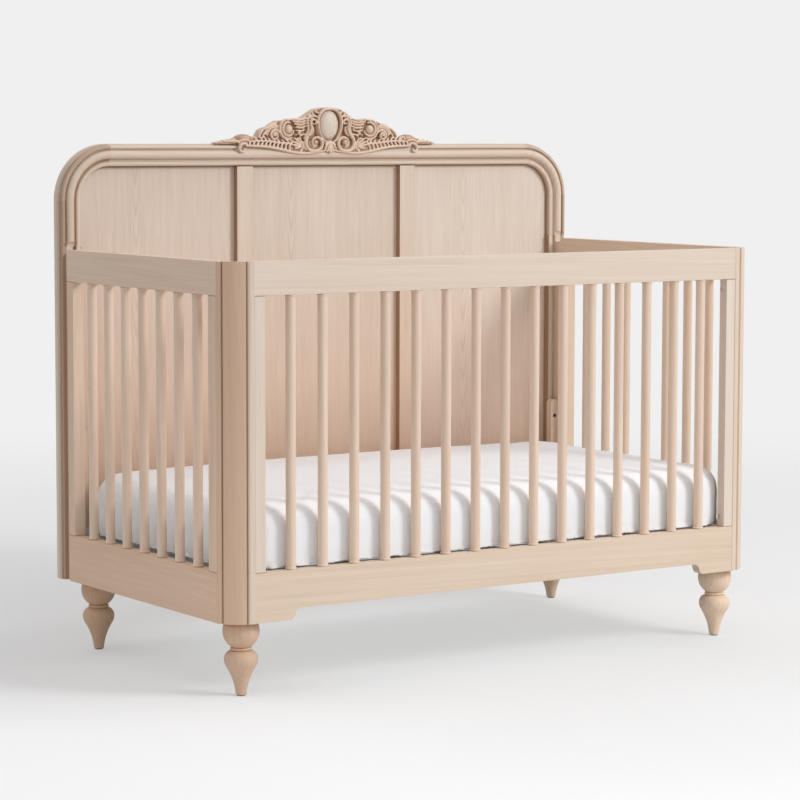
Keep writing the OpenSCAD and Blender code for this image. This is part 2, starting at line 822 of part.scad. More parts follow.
// Half section of a turned foot, standing on its glide
module foot_section() {
    ball_z = base_z - ball_top;
    ring_top = base_z - ball_h;
    ring_z = ring_top - ring_h;
    shoulder_z = ring_z - shoulder_h;
    upper_r = 47;
    neck_r = ring_r - 4;
    belly_x = shoulder_r - belly_r + belly_r * cos(belly_angle);
    belly_z = shoulder_z - belly_r * sin(belly_angle);
    rise = belly_z - glide_h;
    run = belly_x - tip_r;
    turn = 2 * (belly_angle - atan2(run, rise));
    taper_r = norm([run, rise]) / (2 * sin(turn / 2));
    low_angle = belly_angle - turn;
    // ball, in two arcs that share their widest place
    intersection() {
        translate([ball_r - upper_r, ball_z]) circle(r = upper_r, $fn = fine);
        translate([0, ball_z]) square([ball_r, ball_top]);
    }
    intersection() {
        translate([-0.5, ball_z]) circle(r = ball_r + 0.5, $fn = fine);
        translate([0, ring_top]) square([ball_r, ball_z - ring_top]);
    }
    // ring
    translate([0, ring_z]) square([ring_r - ring_h / 2, ring_h]);
    translate([ring_r - ring_h / 2, ring_z + ring_h / 2]) circle(d = ring_h, $fn = 32);
    // shoulder and the round under it
    intersection() {
        translate([shoulder_r - shoulder_h, shoulder_z]) circle(r = shoulder_h, $fn = fine);
        translate([0, shoulder_z]) square([shoulder_r, shoulder_h]);
    }
    translate([0, shoulder_z]) square([shoulder_r - shoulder_h, shoulder_h]);
    intersection() {
        translate([shoulder_r - belly_r, shoulder_z]) circle(r = belly_r, $fn = fine);
        translate([0, belly_z]) square([shoulder_r, shoulder_z - belly_z]);
    }
    // hollow taper down to the tip
    difference() {
        polygon([[0, glide_h], [tip_r, glide_h], [belly_x, belly_z], [0, belly_z]]);
        translate([tip_r + taper_r * cos(low_angle), glide_h - taper_r * sin(low_angle)])
            circle(r = taper_r, $fn = 4 * fine);
    }
    translate([0, shoulder_z]) square([neck_r, base_z - ball_top - shoulder_z]);
}

module foot(y)
    color(turned_wood) translate([foot_x, y, 0]) difference() {
        rotate_extrude($fn = fine) foot_section();
        rod_z([0, 0, base_z - stud_down - 1], stud_down + 2, stud_d / 2 + bolt_gap);
    }

module front_left_foot() left() foot(front_foot_y);
module front_right_foot() foot(front_foot_y);
module rear_left_foot() left() foot(rear_foot_y);
module rear_right_foot() foot(rear_foot_y);

module foot_studs()
    color(zinc) both_ends() for (y = [front_foot_y, rear_foot_y])
        rod_z([foot_x, y, base_z - stud_down], stud_down + stud_up, stud_d / 2);

module foot_glides()
    color(nylon) both_ends() for (y = [front_foot_y, rear_foot_y])
        rod_z([foot_x, y, 0], glide_h, glide_r);

module foot_block(y, half_d)
    color(wood) difference() {
        box([inner_x - 2 * foot_in_x, y - half_d, base_z], [inner_x, y + half_d, block_top]);
        rod_z([foot_x, y, base_z - 1], stud_up + 2, stud_d / 2 + bolt_gap);
    }

module front_left_foot_block() left() foot_block(front_foot_y, foot_in_front);
module front_right_foot_block() foot_block(front_foot_y, foot_in_front);
module rear_left_foot_block() left() foot_block(rear_foot_y, foot_in_rear);
module rear_right_foot_block() foot_block(rear_foot_y, foot_in_rear);

// ---- Bolt pads ----

bolt_heights = [for (i = [0:2]) support_bolt_z + i * height_step];

module bolt_pad() {
    arch_r = pad_w / 2;
    color(wood) difference() {
        translate([inner_x - pad_w, front_inner_y + pad_t, 0]) rotate([90, 0, 0]) linear_extrude(pad_t) {
            translate([0, block_top]) square([pad_w, pad_top - arch_r - block_top]);
            translate([arch_r, pad_top - arch_r]) circle(r = arch_r, $fn = fine);
        }
        for (z = bolt_heights)
            rod_y([pad_x, front_inner_y - 1, z], pad_t + 2, insert_d / 2 + bolt_gap / 2);
    }
}

module front_left_bolt_pad() left() bolt_pad();
module front_right_bolt_pad() bolt_pad();
module rear_left_bolt_pad() left() rear() bolt_pad();
module rear_right_bolt_pad() rear() bolt_pad();

module support_inserts() {
    y = front_inner_y + pad_t - insert_l;
    color(zinc) all_corners() for (z = bolt_heights) difference() {
        rod_y([pad_x, y, z], insert_l, insert_d / 2);
        rod_y([pad_x, y - 1, z], insert_l + 2, support_bolt_d / 2 + bolt_gap / 2);
    }
}

module support_bolts() {
    head_y = rail_y + rest_gap;
    color(zinc) all_corners() {
        rod_y([pad_x, head_y, support_bolt_z], bolt_head_h, bolt_head_d / 2);
        rod_y([pad_x, head_y - steel_t - insert_l, support_bolt_z], steel_t + insert_l, support_bolt_d / 2);
    }
}

// ---- Mattress support ----

// Hanger plate with the open slot that drops over its bolt
module hanger() {
    slot_r = support_bolt_d / 2 + rest_gap;
    plate_z = support_bolt_z - hanger_h / 2 - 5;
    color(steel) difference() {
        box([hanger_in_x, hanger_y, plate_z], [hanger_out_x, rail_y, plate_z + hanger_h]);
        rod_y([pad_x, hanger_y - 1, support_bolt_z], steel_t + 2, slot_r);
        box([pad_x - slot_r, hanger_y - 1, plate_z - 1], [pad_x + slot_r, rail_y + 1, support_bolt_z]);
    }
}

module front_left_hanger() left() hanger();
module front_right_hanger() hanger();
module rear_left_hanger() left() rear() hanger();
module rear_right_hanger() rear() hanger();

// Section of a steel angle, its corner at the top right
module angle_section() {
    translate([-angle_w, -steel_t]) square([angle_w, steel_t]);
    translate([-steel_t, -angle_w]) square([steel_t, angle_w]);
}

module side_rail() {
    rail_l = 2 * (mid_y - rail_y);
    color(steel) translate([side_rail_x, rail_y + rail_l, angle_top]) rotate([90, 0, 0])
        linear_extrude(rail_l) angle_section();
}

module cross_rail()
    color(steel) translate([0, rail_y, angle_top]) rotate([90, 0, -90])
        linear_extrude(2 * flange_x, center = true) angle_section();

module support_front_rail() cross_rail();
module support_rear_rail() rear() cross_rail();
module support_left_rail() left() side_rail();
module support_right_rail() side_rail();

module support_slats() {
    slat_y0 = rail_y + steel_t;
    slat_y1 = 2 * mid_y - slat_y0;
    color(steel) for (x = spread(-flange_x, flange_x, slat_count, slat_w))
        box([x - slat_w / 2, slat_y0, angle_top], [x + slat_w / 2, slat_y1, support_top]);
}

module mattress() {
    mattress_half = inner_x - mattress_side_gap;
    mattress_y = front_inner_y + mattress_front_gap;
    mattress_d = head_face_y - mattress_rear_gap - mattress_y;
    color(sheet_white) translate([-mattress_half, mattress_y, mattress_z])
        linear_extrude(mattress_t) eased_rect([2 * mattress_half, mattress_d], mattress_r);
}

headboard_left_stile();
headboard_right_stile();
headboard_left_corner();
headboard_right_corner();
headboard_top_rail();
headboard_bottom_rail();
headboard_left_mullion();
headboard_right_mullion();
left_panel();
center_panel();
right_panel();
crown_carving();
crown_medallion();
front_top_rail();
front_bottom_rail();
front_left_stile();
front_right_stile();
left_corner_post();
right_corner_post();
left_end_top_rail();
left_end_bottom_rail();
left_end_front_stile();
left_end_rear_stile();
right_end_top_rail();
right_end_bottom_rail();
right_end_front_stile();
right_end_rear_stile();
front_spindles();
left_end_spindles();
right_end_spindles();
front_left_foot();
front_right_foot();
rear_left_foot();
rear_right_foot();
foot_studs();
foot_glides();
front_left_foot_block();
front_right_foot_block();
rear_left_foot_block();
rear_right_foot_block();
front_left_bolt_pad();
front_right_bolt_pad();
rear_left_bolt_pad();
rear_right_bolt_pad();
front_left_hanger();
front_right_hanger();
rear_left_hanger();
rear_right_hanger();
support_front_rail();
support_rear_rail();
support_left_rail();
support_right_rail();
support_slats();
support_bolts();
support_inserts();
front_frame_bolts();
front_frame_inserts();
headboard_bolts();
headboard_inserts();
mattress();
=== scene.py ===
import math

import bpy
import bmesh
import numpy as np
from mathutils import Matrix, Vector


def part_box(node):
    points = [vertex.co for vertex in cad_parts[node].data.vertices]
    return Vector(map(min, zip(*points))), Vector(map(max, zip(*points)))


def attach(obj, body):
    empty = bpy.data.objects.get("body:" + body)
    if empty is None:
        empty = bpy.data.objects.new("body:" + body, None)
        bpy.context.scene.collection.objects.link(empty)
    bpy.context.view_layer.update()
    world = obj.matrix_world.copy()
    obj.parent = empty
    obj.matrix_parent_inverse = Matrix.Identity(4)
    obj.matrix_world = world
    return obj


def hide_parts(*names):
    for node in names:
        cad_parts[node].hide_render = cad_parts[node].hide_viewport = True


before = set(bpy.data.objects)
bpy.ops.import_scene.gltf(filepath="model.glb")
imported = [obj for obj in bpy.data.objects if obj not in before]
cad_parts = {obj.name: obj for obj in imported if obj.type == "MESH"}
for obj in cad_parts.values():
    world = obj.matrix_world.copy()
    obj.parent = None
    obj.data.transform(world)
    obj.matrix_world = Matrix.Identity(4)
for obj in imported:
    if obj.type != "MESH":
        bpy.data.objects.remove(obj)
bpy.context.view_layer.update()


# ---------------------------------------------------------------------------------------------
# The camera. It stands to the left of the crib's front, a little above the front rail's height,
# and looks down by five and a half degrees through a long lens.

camera_data = bpy.data.cameras.new("camera")
camera_data.sensor_width = 36
camera_data.lens = 125.34
camera_data.clip_end = 60
camera = bpy.data.objects.new("camera", camera_data)
bpy.context.scene.collection.objects.link(camera)
camera.matrix_world = (
    Matrix.Translation((-3.5366, -5.2161, 1.1579))
    @ Matrix.Rotation(math.radians(-33.93), 4, "Z")
    @ Matrix.Rotation(math.radians(84.539), 4, "X")
    @ Matrix.Rotation(math.radians(0.117), 4, "Z")
)
bpy.context.scene.camera = camera


# ---------------------------------------------------------------------------------------------
# The studio light. One large soft key stands in front, to the right and above, and the pale room
# fills the shade. A white matt board that faces the key comes out white.

KEY_DISTANCE = 6.5
KEY_AIM_HEIGHT = 0.6
ROOM_LIGHT = (0.980, 0.985, 1.000)
ROOM_WALL = (0.870, 0.870, 0.870)

key_data = bpy.data.lights.new("key", "AREA")
key_data.shape = "DISK"
key_data.size = 2.1
key_data.energy = 195
key = bpy.data.objects.new("key", key_data)
bpy.context.scene.collection.objects.link(key)
key_way = Vector((0.497, -0.709, 0.5))
key.location = Vector((0, 0, KEY_AIM_HEIGHT)) + KEY_DISTANCE * key_way
key.rotation_euler = key_way.to_track_quat("Z", "Y").to_euler()


def fed(tree, node, inputs):
    """Gives a node's inputs their values, or wires them to the sockets that feed them."""
    for slot, value in inputs.items():
        if isinstance(value, bpy.types.NodeSocket):
            tree.links.new(value, node.inputs[slot])
        else:
            node.inputs[slot].default_value = value


def wired(tree, kind, inputs, **settings):
    """Adds a node with its settings and its inputs, and gives its outputs."""
    node = tree.nodes.new("ShaderNode" + kind)
    for name, value in settings.items():
        setattr(node, name, value)
    fed(tree, node, inputs)
    return node.outputs


def ranged(tree, value, low, high, to_low=0.0, to_high=1.0, **settings):
    """A value taken from one range to another."""
    return wired(tree, "MapRange", {
        "Value": value, "From Min": low, "From Max": high, "To Min": to_low, "To Max": to_high,
    }, **settings)["Result"]


room = bpy.data.worlds.new("room")
bpy.context.scene.world = room
room.use_nodes = True
room_tree = room.node_tree
room_tree.nodes.clear()
room_ray = wired(room_tree, "LightPath", {})
room_mirrored = wired(room_tree, "Math", {
    0: room_ray["Is Camera Ray"], 1: room_ray["Is Glossy Ray"],
}, operation="MAXIMUM")[0]
room_seen = wired(room_tree, "Math", {
    0: room_mirrored, 1: room_ray["Is Transmission Ray"],
}, operation="MAXIMUM")[0]
room_way = wired(room_tree, "TexCoord", {})["Generated"]
room_height = wired(room_tree, "SeparateXYZ", {0: room_way})["Z"]
room_light = wired(room_tree, "Background", {
    "Color": (*ROOM_LIGHT, 1), "Strength": ranged(room_tree, room_height, 0.0, 1.0, 0.27, 1.06),
})[0]
room_wall = wired(room_tree, "Background", {"Color": (*ROOM_WALL, 1), "Strength": 1.0})[0]
room_mix = wired(room_tree, "MixShader", {"Fac": room_seen, 1: room_light, 2: room_wall})[0]
wired(room_tree, "OutputWorld", {"Surface": room_mix})

bpy.context.scene.view_settings.view_transform = "Standard"


# ---------------------------------------------------------------------------------------------
# The floor. A pale matt sheet under the crib, which takes the soft shadow and fades into the
# pale wall a few metres away. Its colour is painted lighter in front to the left, as a pool of
# light that falls off behind, and darker in two patches as painted shade. For the camera it
# glows, most of all under the crib, where the glow paints light into the crib's shadow.

FLOOR_PAINTED_LIT = (0.930, 0.930, 0.930)
FLOOR_PAINTED_FALLOFF = (0.800, 0.800, 0.800)
FLOOR_GLOW = (0.950, 0.950, 0.950)
FLOOR_RADIUS = 14


def stood(name, shape):
    """Makes a piece from a shape, with its place in its mesh, and stands it in the scene."""
    mesh = bpy.data.meshes.new(name)
    shape.to_mesh(mesh)
    shape.free()
    piece = bpy.data.objects.new(name, mesh)
    bpy.context.scene.collection.objects.link(piece)
    return piece


floor_shape = bmesh.new()
bmesh.ops.create_circle(floor_shape, cap_ends=True, segments=96, radius=FLOOR_RADIUS)
floor = stood("floor", floor_shape)
floor_sheet = bpy.data.materials.new("floor_sheet")
floor_sheet.use_nodes = True
floor_tree = floor_sheet.node_tree
floor_shader = floor_tree.nodes["Principled BSDF"]
floor_place = wired(floor_tree, "TexCoord", {})["Object"]


def floor_band(centre, scale, near, far, at_near, at_far):
    """A value that changes with the distance from a place on the floor, in metres."""
    shifted = wired(floor_tree, "VectorMath", {0: floor_place, 1: centre}, operation="SUBTRACT")
    sized = wired(floor_tree, "VectorMath", {0: shifted["Vector"], 1: scale}, operation="MULTIPLY")
    reach = wired(floor_tree, "VectorMath", {0: sized["Vector"]}, operation="LENGTH")["Value"]
    return ranged(floor_tree, reach, near, far, at_near, at_far, interpolation_type="SMOOTHSTEP")


# The floor's colour is painted light: lighter in front to the left, falling off behind.
floor_painted_light = wired(floor_tree, "Mix", {
    "A": (*FLOOR_PAINTED_LIT, 1), "B": (*FLOOR_PAINTED_FALLOFF, 1),
    "Factor": floor_band((-0.9, -1.4, 0), (1, 1, 1), 0.8, 2.6, 0.0, 1.0),
}, data_type="RGBA")["Result"]
# Two patches painted darker as painted shade: one in front, a little to the right, and one beside the
# left end.
for painted_shade_place, painted_shade_near, painted_shade_far, painted_shade_share in (
    ((0.3, -1.0, 0), 0.3, 1.3, 0.90), ((-0.85, 0.15, 0), 0.15, 0.7, 0.88),
):
    floor_painted_light = wired(floor_tree, "VectorMath", {
        0: floor_painted_light, "Scale": floor_band(painted_shade_place, (1, 1, 1), painted_shade_near, painted_shade_far, painted_shade_share, 1.0),
    }, operation="SCALE")["Vector"]
fed(floor_tree, floor_shader, {"Base Color": floor_painted_light, "Roughness": 0.9, "Specular IOR Level": 0.1})
floor_glow = wired(floor_tree, "Emission", {"Color": (*FLOOR_GLOW, 1)})[0]
# The camera sees a pale glow over the floor, strongest under the crib, where it paints light into the
# crib's shadow.
floor_glow_and_painted_fill = wired(floor_tree, "Math", {
    0: wired(floor_tree, "LightPath", {})["Is Camera Ray"],
    1: floor_band((0.1, 0, 0), (1.0, 1.6, 0), 0.5, 1.2, 0.54, 0.12),
}, operation="MULTIPLY")[0]
floor_look = wired(floor_tree, "MixShader", {
    "Fac": floor_glow_and_painted_fill, 1: floor_shader.outputs[0], 2: floor_glow,
})[0]
floor_mix = wired(floor_tree, "MixShader", {
    "Fac": floor_band((0, 0, 0), (1, 1, 0), 1.2, 5.0, 0.0, 1.0),
    1: floor_look, 2: wired(floor_tree, "BsdfTransparent", {})[0],
})[0]
fed(floor_tree, floor_tree.nodes["Material Output"], {"Surface": floor_mix})
floor.data.materials.append(floor_sheet)


# ---------------------------------------------------------------------------------------------
# The front frame: a top rail, a bottom rail cut to a shaped apron, and two stiles, of pale limed
# hardwood. The boards are planed, with eased edges, and their grain runs along them. A fine dark
# line shows where a stile's shoulder meets a rail.

RAIL_PALE = (0.790, 0.668, 0.560)
RAIL_DARK = (0.640, 0.508, 0.395)
APRON_PALE = (0.785, 0.645, 0.510)
APRON_DARK = (0.630, 0.480, 0.350)
STILE_PALE = (0.800, 0.690, 0.600)
STILE_DARK = (0.680, 0.560, 0.465)
# A brown for the dark lines at the joints, and for painted shade in grooves, quirks and on side faces.
BROWN_GLAZE_AND_SHADE = (0.300, 0.155, 0.075)
WAVE_LENGTH = 0.314


def toned(tree, value, low, pale, high, dark):
    """A colour that goes from one tone to another between two values."""
    ramp = tree.nodes.new("ShaderNodeValToRGB")
    for stop, at, colour in zip(ramp.color_ramp.elements, (low, high), (pale, dark)):
        stop.position = at
        stop.color = (*colour, 1)
    tree.links.new(value, ramp.inputs["Fac"])
    return ramp.outputs["Color"]


def limed_wood(name, along, cut, pale, dark, rings=0.14, ring_width=0.005):
    """A board's finish: growth rings, streaks, fibre and pores along its length, in two tones.

    The cut says where in its log the board lies, so that no two boards have the same figure.
    """
    wood = bpy.data.materials.new(name)
    wood.use_nodes = True
    tree = wood.node_tree
    turned = wired(tree, "Mapping", {
        "Location": cut,
        "Rotation": {
            "X": (math.radians(1.0), math.radians(88.8), 0),
            "Y": (math.radians(88.8), math.radians(1.2), 0),
            "Z": (math.radians(1.1), math.radians(0.9), 0),
            "crown cut": (math.radians(2.6), math.radians(0.3), 0),
            "left corner": (0, math.radians(-45), 0),
            "right corner": (0, math.radians(45), 0),
        }[along],
        "Vector": wired(tree, "TexCoord", {})["Object"],
    })["Vector"]

    def stretched(scale):
        return wired(tree, "Mapping", {"Scale": scale, "Vector": turned})["Vector"]

    def speckled(scale, detail, low, high):
        speckle = wired(tree, "TexNoise", {
            "Vector": stretched(scale), "Scale": 1.0, "Detail": detail, "Roughness": 0.55,
        })["Fac"]
        return ranged(tree, speckle, low, high)

    def weighed(parts):
        total = 0.0
        for value, weight in parts:
            total = wired(tree, "Math", {0: value, 1: weight, 2: total}, operation="MULTIPLY_ADD")[0]
        return total

    # The rings are sharp near the heart of the log, and fade into straight grain away from it
    ring = wired(tree, "TexWave", {
        "Vector": stretched((WAVE_LENGTH / ring_width, WAVE_LENGTH / ring_width, 3.0)), "Scale": 1.0,
        "Distortion": 5.0, "Detail": 2.0, "Detail Scale": 0.25, "Detail Roughness": 0.5,
    }, wave_type="RINGS", rings_direction="Z", wave_profile="SIN")["Fac"]
    heart = wired(tree, "VectorMath", {0: stretched((1, 1, 0))}, operation="LENGTH")["Value"]
    drawn = wired(tree, "Math", {
        0: ranged(tree, ring, 0.45, 1.0), 1: ranged(tree, heart, 0.020, 0.075, 1.0, 0.3),
    }, operation="MULTIPLY")[0]
    streak = speckled((105, 105, 1.6), 4, 0.30, 0.70)
    fibre = speckled((270, 270, 5.0), 4, 0.28, 0.72)
    cloud = speckled((6, 6, 0.8), 3, 0.28, 0.72)
    pores = speckled((900, 900, 30), 2, 0.62, 0.76)
    shade = weighed([(drawn, rings), (streak, 0.34), (fibre, 0.26), (cloud, 0.30), (pores, 0.20)])
    skin = wired(tree, "Bump", {
        "Strength": 0.4, "Distance": 0.0001, "Height": weighed([(fibre, 0.5), (pores, -0.8)]),
    })["Normal"]
    fed(tree, tree.nodes["Principled BSDF"], {
        "Base Color": toned(tree, shade, 0.10, pale, 1.0, dark), "Normal": skin,
        "Roughness": ranged(tree, fibre, 0, 1, 0.46, 0.60), "Specular IOR Level": 0.35,
    })
    return wood


def measured(wood, operation, *values):
    """One step of a sum on a finish's own measures, from sockets or numbers."""
    return wired(wood.node_tree, "Math", dict(enumerate(values)), operation=operation)[0]


def placed(wood):
    """Where a point of the finish lies on the crib: its x, y and z."""
    return wired(wood.node_tree, "SeparateXYZ", {0: wired(wood.node_tree, "TexCoord", {})["Object"]})


def off_line(wood, value, line):
    """How far a value is from a line, whichever side it lies on."""
    return measured(wood, "ABSOLUTE", measured(wood, "SUBTRACT", value, line))


def banded(wood, value, bands):
    """How much glaze lies at a value, from pairs of a place and a share."""
    first, last = bands[0][0], bands[-1][0]
    ramp = wood.node_tree.nodes.new("ShaderNodeValToRGB")
    stops = ramp.color_ramp.elements
    while len(stops) < len(bands):
        stops.new(0.5)
    for stop, (at, share) in zip(stops, bands):
        stop.position = (at - first) / (last - first)
        stop.color = (share, share, share, 1)
    fed(wood.node_tree, ramp, {"Fac": ranged(wood.node_tree, value, first, last)})
    return ramp.outputs["Color"]


def glazed_and_shaded(wood, mask, glaze_and_shade=BROWN_GLAZE_AND_SHADE):
    """Lays a colour over a finish, as far as the mask says: a real glaze at the joints, and painted
    shade in the other places.
    """
    tree = wood.node_tree
    surface = tree.nodes["Principled BSDF"].inputs["Base Color"]
    coat = wired(tree, "Mix", {
        "A": surface.links[0].from_socket, "B": (*glaze_and_shade, 1), "Factor": mask,
    }, data_type="RGBA")
    tree.links.new(coat["Result"], surface)
    return wood


def shouldered(wood, low, high):
    """The dark line at each end of a stile, where its shoulders meet the rails."""
    height = placed(wood)["Z"]
    off = measured(wood, "MINIMUM", off_line(wood, height, low), off_line(wood, height, high))
    return glazed_and_shaded(wood, banded(wood, off, [(0.0, 0.85), (0.0008, 0.85), (0.0018, 0.0), (0.003, 0.0)]))


def painted_side_shade(wood, share, glaze_and_shade=BROWN_GLAZE_AND_SHADE):
    """Painted shade, laid as a glaze colour on the faces that look along X."""
    normal = wired(wood.node_tree, "NewGeometry", {})["Normal"]
    sideways = wired(wood.node_tree, "SeparateXYZ", {0: normal})["X"]
    return glazed_and_shaded(wood, banded(wood, measured(wood, "ABSOLUTE", sideways), [
        (0.0, 0.0), (0.55, 0.0), (0.85, share), (1.0, share),
    ]), glaze_and_shade)


def tinted(colour, tint):
    """A colour with each of its parts made stronger or weaker by a tint."""
    return tuple(part * share for part, share in zip(colour, tint))


def finished(node, material):
    """Puts a finish on a part of the frame that keeps its own shape."""
    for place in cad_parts[node].material_slots:
        place.material = material


finished("front_top_rail",
         limed_wood("front_top_rail_wood", "X", (0.02, 0.41, 3.1), RAIL_PALE, RAIL_DARK))
finished("front_bottom_rail",
         limed_wood("front_bottom_rail_wood", "X", (0.31, 0.30, 7.7), APRON_PALE, APRON_DARK, 0.18))
front_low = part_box("front_bottom_rail")[1].z
front_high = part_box("front_top_rail")[0].z
# The left stile is tinted darker and warmer than the right, as painted light and shade, and the stiles'
# faces that look along X get painted shade.
for stile, cut, tint in (("front_left_stile", (0.55, 0.47, 1.3), (0.960, 0.940, 0.915)),
                         ("front_right_stile", (-0.70, 0.31, 4.6), (1.0, 1.0, 1.0))):
    wood = limed_wood(stile + "_wood", "Z", cut, tinted(STILE_PALE, tint), tinted(STILE_DARK, tint))
    finished(stile, shouldered(painted_side_shade(wood, 0.15), front_low, front_high))


# ---------------------------------------------------------------------------------------------
# The two corner posts, one at each end of the front frame. Each is a solid post, moulded on its
# outer corner with a bead, a groove, a shallow curved face, a groove and a bead. Round the corner
# the wood is painted warmer as painted shade, on the left post only, and the grooves are painted
# brown as painted shade, dark on the left post and faint on the right.

POST_PALE = (0.790, 0.655, 0.535)
POST_DARK = (0.630, 0.490, 0.370)
WARM_PAINTED_SHADE = (0.620, 0.230, 0.060)
POST_SEAM = 0.6375
POST_BEAD = 0.6545
POST_EDGE = 0.7000
POST_GROOVES = ((POST_BEAD, -0.3735), (0.6910, -0.3415))

# For each post: its cut, the share of the dark line at its joint, and the shares of painted shade round
# the corner and in the grooves.
for post, cut, joint, warm_shade, glaze_and_shade in (
    ("left_corner_post", (0.61, 0.29, 5.2), 0.0, 0.30, 0.75),
    ("right_corner_post", (-0.58, 0.44, 2.4), 0.50, 0.0, 0.08),
):
    wood = limed_wood(post + "_wood", "Z", cut, POST_PALE, POST_DARK)
    where = placed(wood)
    outward = measured(wood, "ABSOLUTE", where["X"])
    glazed_and_shaded(wood, banded(wood, outward, [
        (POST_SEAM, 0.0), (POST_BEAD, 0.0), (POST_BEAD + 0.006, warm_shade), (POST_EDGE, warm_shade),
    ]), WARM_PAINTED_SHADE)
    glazed_and_shaded(wood, banded(wood, outward, [
        (POST_SEAM, joint), (POST_SEAM + 0.0010, joint), (POST_SEAM + 0.0020, 0.0), (POST_EDGE, 0.0),
    ]))
    to_grooves = [
        measured(wood, "SQRT", measured(
            wood, "ADD", measured(wood, "POWER", off_line(wood, outward, groove_x), 2),
            measured(wood, "POWER", off_line(wood, where["Y"], groove_y), 2)))
        for groove_x, groove_y in POST_GROOVES
    ]
    glazed_and_shaded(wood, banded(wood, measured(wood, "MINIMUM", *to_grooves), [
        (0.0, glaze_and_shade), (0.0015, glaze_and_shade), (0.0045, 0.0), (0.01, 0.0),
    ]))
    finished(post, wood)


# ---------------------------------------------------------------------------------------------
# The two end frames: a top rail, a bottom rail and two stiles each, planed and eased as the front
# frame is, and tenoned together.

# The end frames are tinted warmer and more saturated than the front as painted shade, their bottom
# rails more so, and their stiles' faces that look along X get warm painted shade.
END_SHADED_PALE = (0.815, 0.640, 0.505)
END_SHADED_DARK = (0.650, 0.475, 0.345)
END_LOW_SHADED_PALE = (0.790, 0.575, 0.425)
END_LOW_SHADED_DARK = (0.625, 0.415, 0.275)

for side, shift in (("left", 0.0), ("right", 2.6)):
    rail = side + "_end_top_rail"
    finished(rail, limed_wood(rail + "_wood", "Y", (0.40 + shift, 0.05, 1.7), END_SHADED_PALE, END_SHADED_DARK))
    rail = side + "_end_bottom_rail"
    finished(rail, limed_wood(rail + "_wood", "Y", (0.52 + shift, 0.33, 6.1),
                              END_LOW_SHADED_PALE, END_LOW_SHADED_DARK))
    end_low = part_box(side + "_end_bottom_rail")[1].z
    end_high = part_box(side + "_end_top_rail")[0].z
    for stile, cut in ((side + "_end_front_stile", (0.44 + shift, 0.27, 2.9)),
                       (side + "_end_rear_stile", (0.63 + shift, -0.31, 8.3))):
        wood = painted_side_shade(limed_wood(stile + "_wood", "Z", cut, END_SHADED_PALE, END_SHADED_DARK), 0.12, WARM_PAINTED_SHADE)
        finished(stile, shouldered(wood, end_low, end_high))


# ---------------------------------------------------------------------------------------------
# The spindles, fifteen in the front frame and seven in each end. They are turned from straight
# grained dowel, with a small collar at each end.

SPINDLE_PALE = (0.835, 0.665, 0.535)
SPINDLE_DARK = (0.660, 0.485, 0.360)

for group, cut in (("front_spindles", (0.13, 0.61, 0.7)), ("left_end_spindles", (0.49, 0.22, 3.3)),
                   ("right_end_spindles", (-0.35, 0.57, 5.9))):
    finished(group, limed_wood(group + "_wood", "Z", cut, SPINDLE_PALE, SPINDLE_DARK))


# ---------------------------------------------------------------------------------------------
# The headboard's frame: two stiles, two curved corners and a top rail with a moulding run round
# them, a plain bottom rail and two mullions. The moulding is painted brown in bands as painted
# shade, more on the left than on the right and least on the top rail, with a painted shadow line
# along the panels' edge. The sides of the mullions are painted dark, and their foot warmer, as
# painted shade.

HEAD_PALE = (0.790, 0.655, 0.540)
HEAD_DARK = (0.630, 0.490, 0.370)
HEAD_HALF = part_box("headboard_right_stile")[1].x
HEAD_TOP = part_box("headboard_top_rail")[1].z
HEAD_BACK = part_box("headboard_top_rail")[1].y
HEAD_CORNER = 0.126
HEAD_BARE = 0.012


def painted_low_shade(wood):
    """The headboard's wood is painted a little warmer towards the foot of the boards, as painted shade.
    """
    return glazed_and_shaded(wood, banded(wood, placed(wood)["Z"], [
        (0.26, 0.26), (0.45, 0.24), (0.62, 0.16), (0.82, 0.06), (0.95, 0.0), (1.2, 0.0),
    ]), WARM_PAINTED_SHADE)


def painted_arch_shade(wood, bands):
    """Painted shade, a brown glaze colour in bands that follow the headboard's arch, at places measured
    in from its edge.

    The back of the headboard stays bare.
    """
    where = placed(wood)
    over = measured(wood, "MAXIMUM", 0, measured(
        wood, "SUBTRACT", measured(wood, "ABSOLUTE", where["X"]), HEAD_HALF - HEAD_CORNER))
    above = measured(wood, "MAXIMUM", 0, measured(wood, "SUBTRACT", where["Z"], HEAD_TOP - HEAD_CORNER))
    out = measured(wood, "SQRT", measured(
        wood, "ADD", measured(wood, "MULTIPLY", over, over), measured(wood, "MULTIPLY", above, above)))
    shade_bands = banded(wood, measured(wood, "SUBTRACT", HEAD_CORNER, out), bands)
    in_front = measured(wood, "LESS_THAN", where["Y"], HEAD_BACK - HEAD_BARE)
    return glazed_and_shaded(wood, measured(wood, "MULTIPLY", shade_bands, in_front))


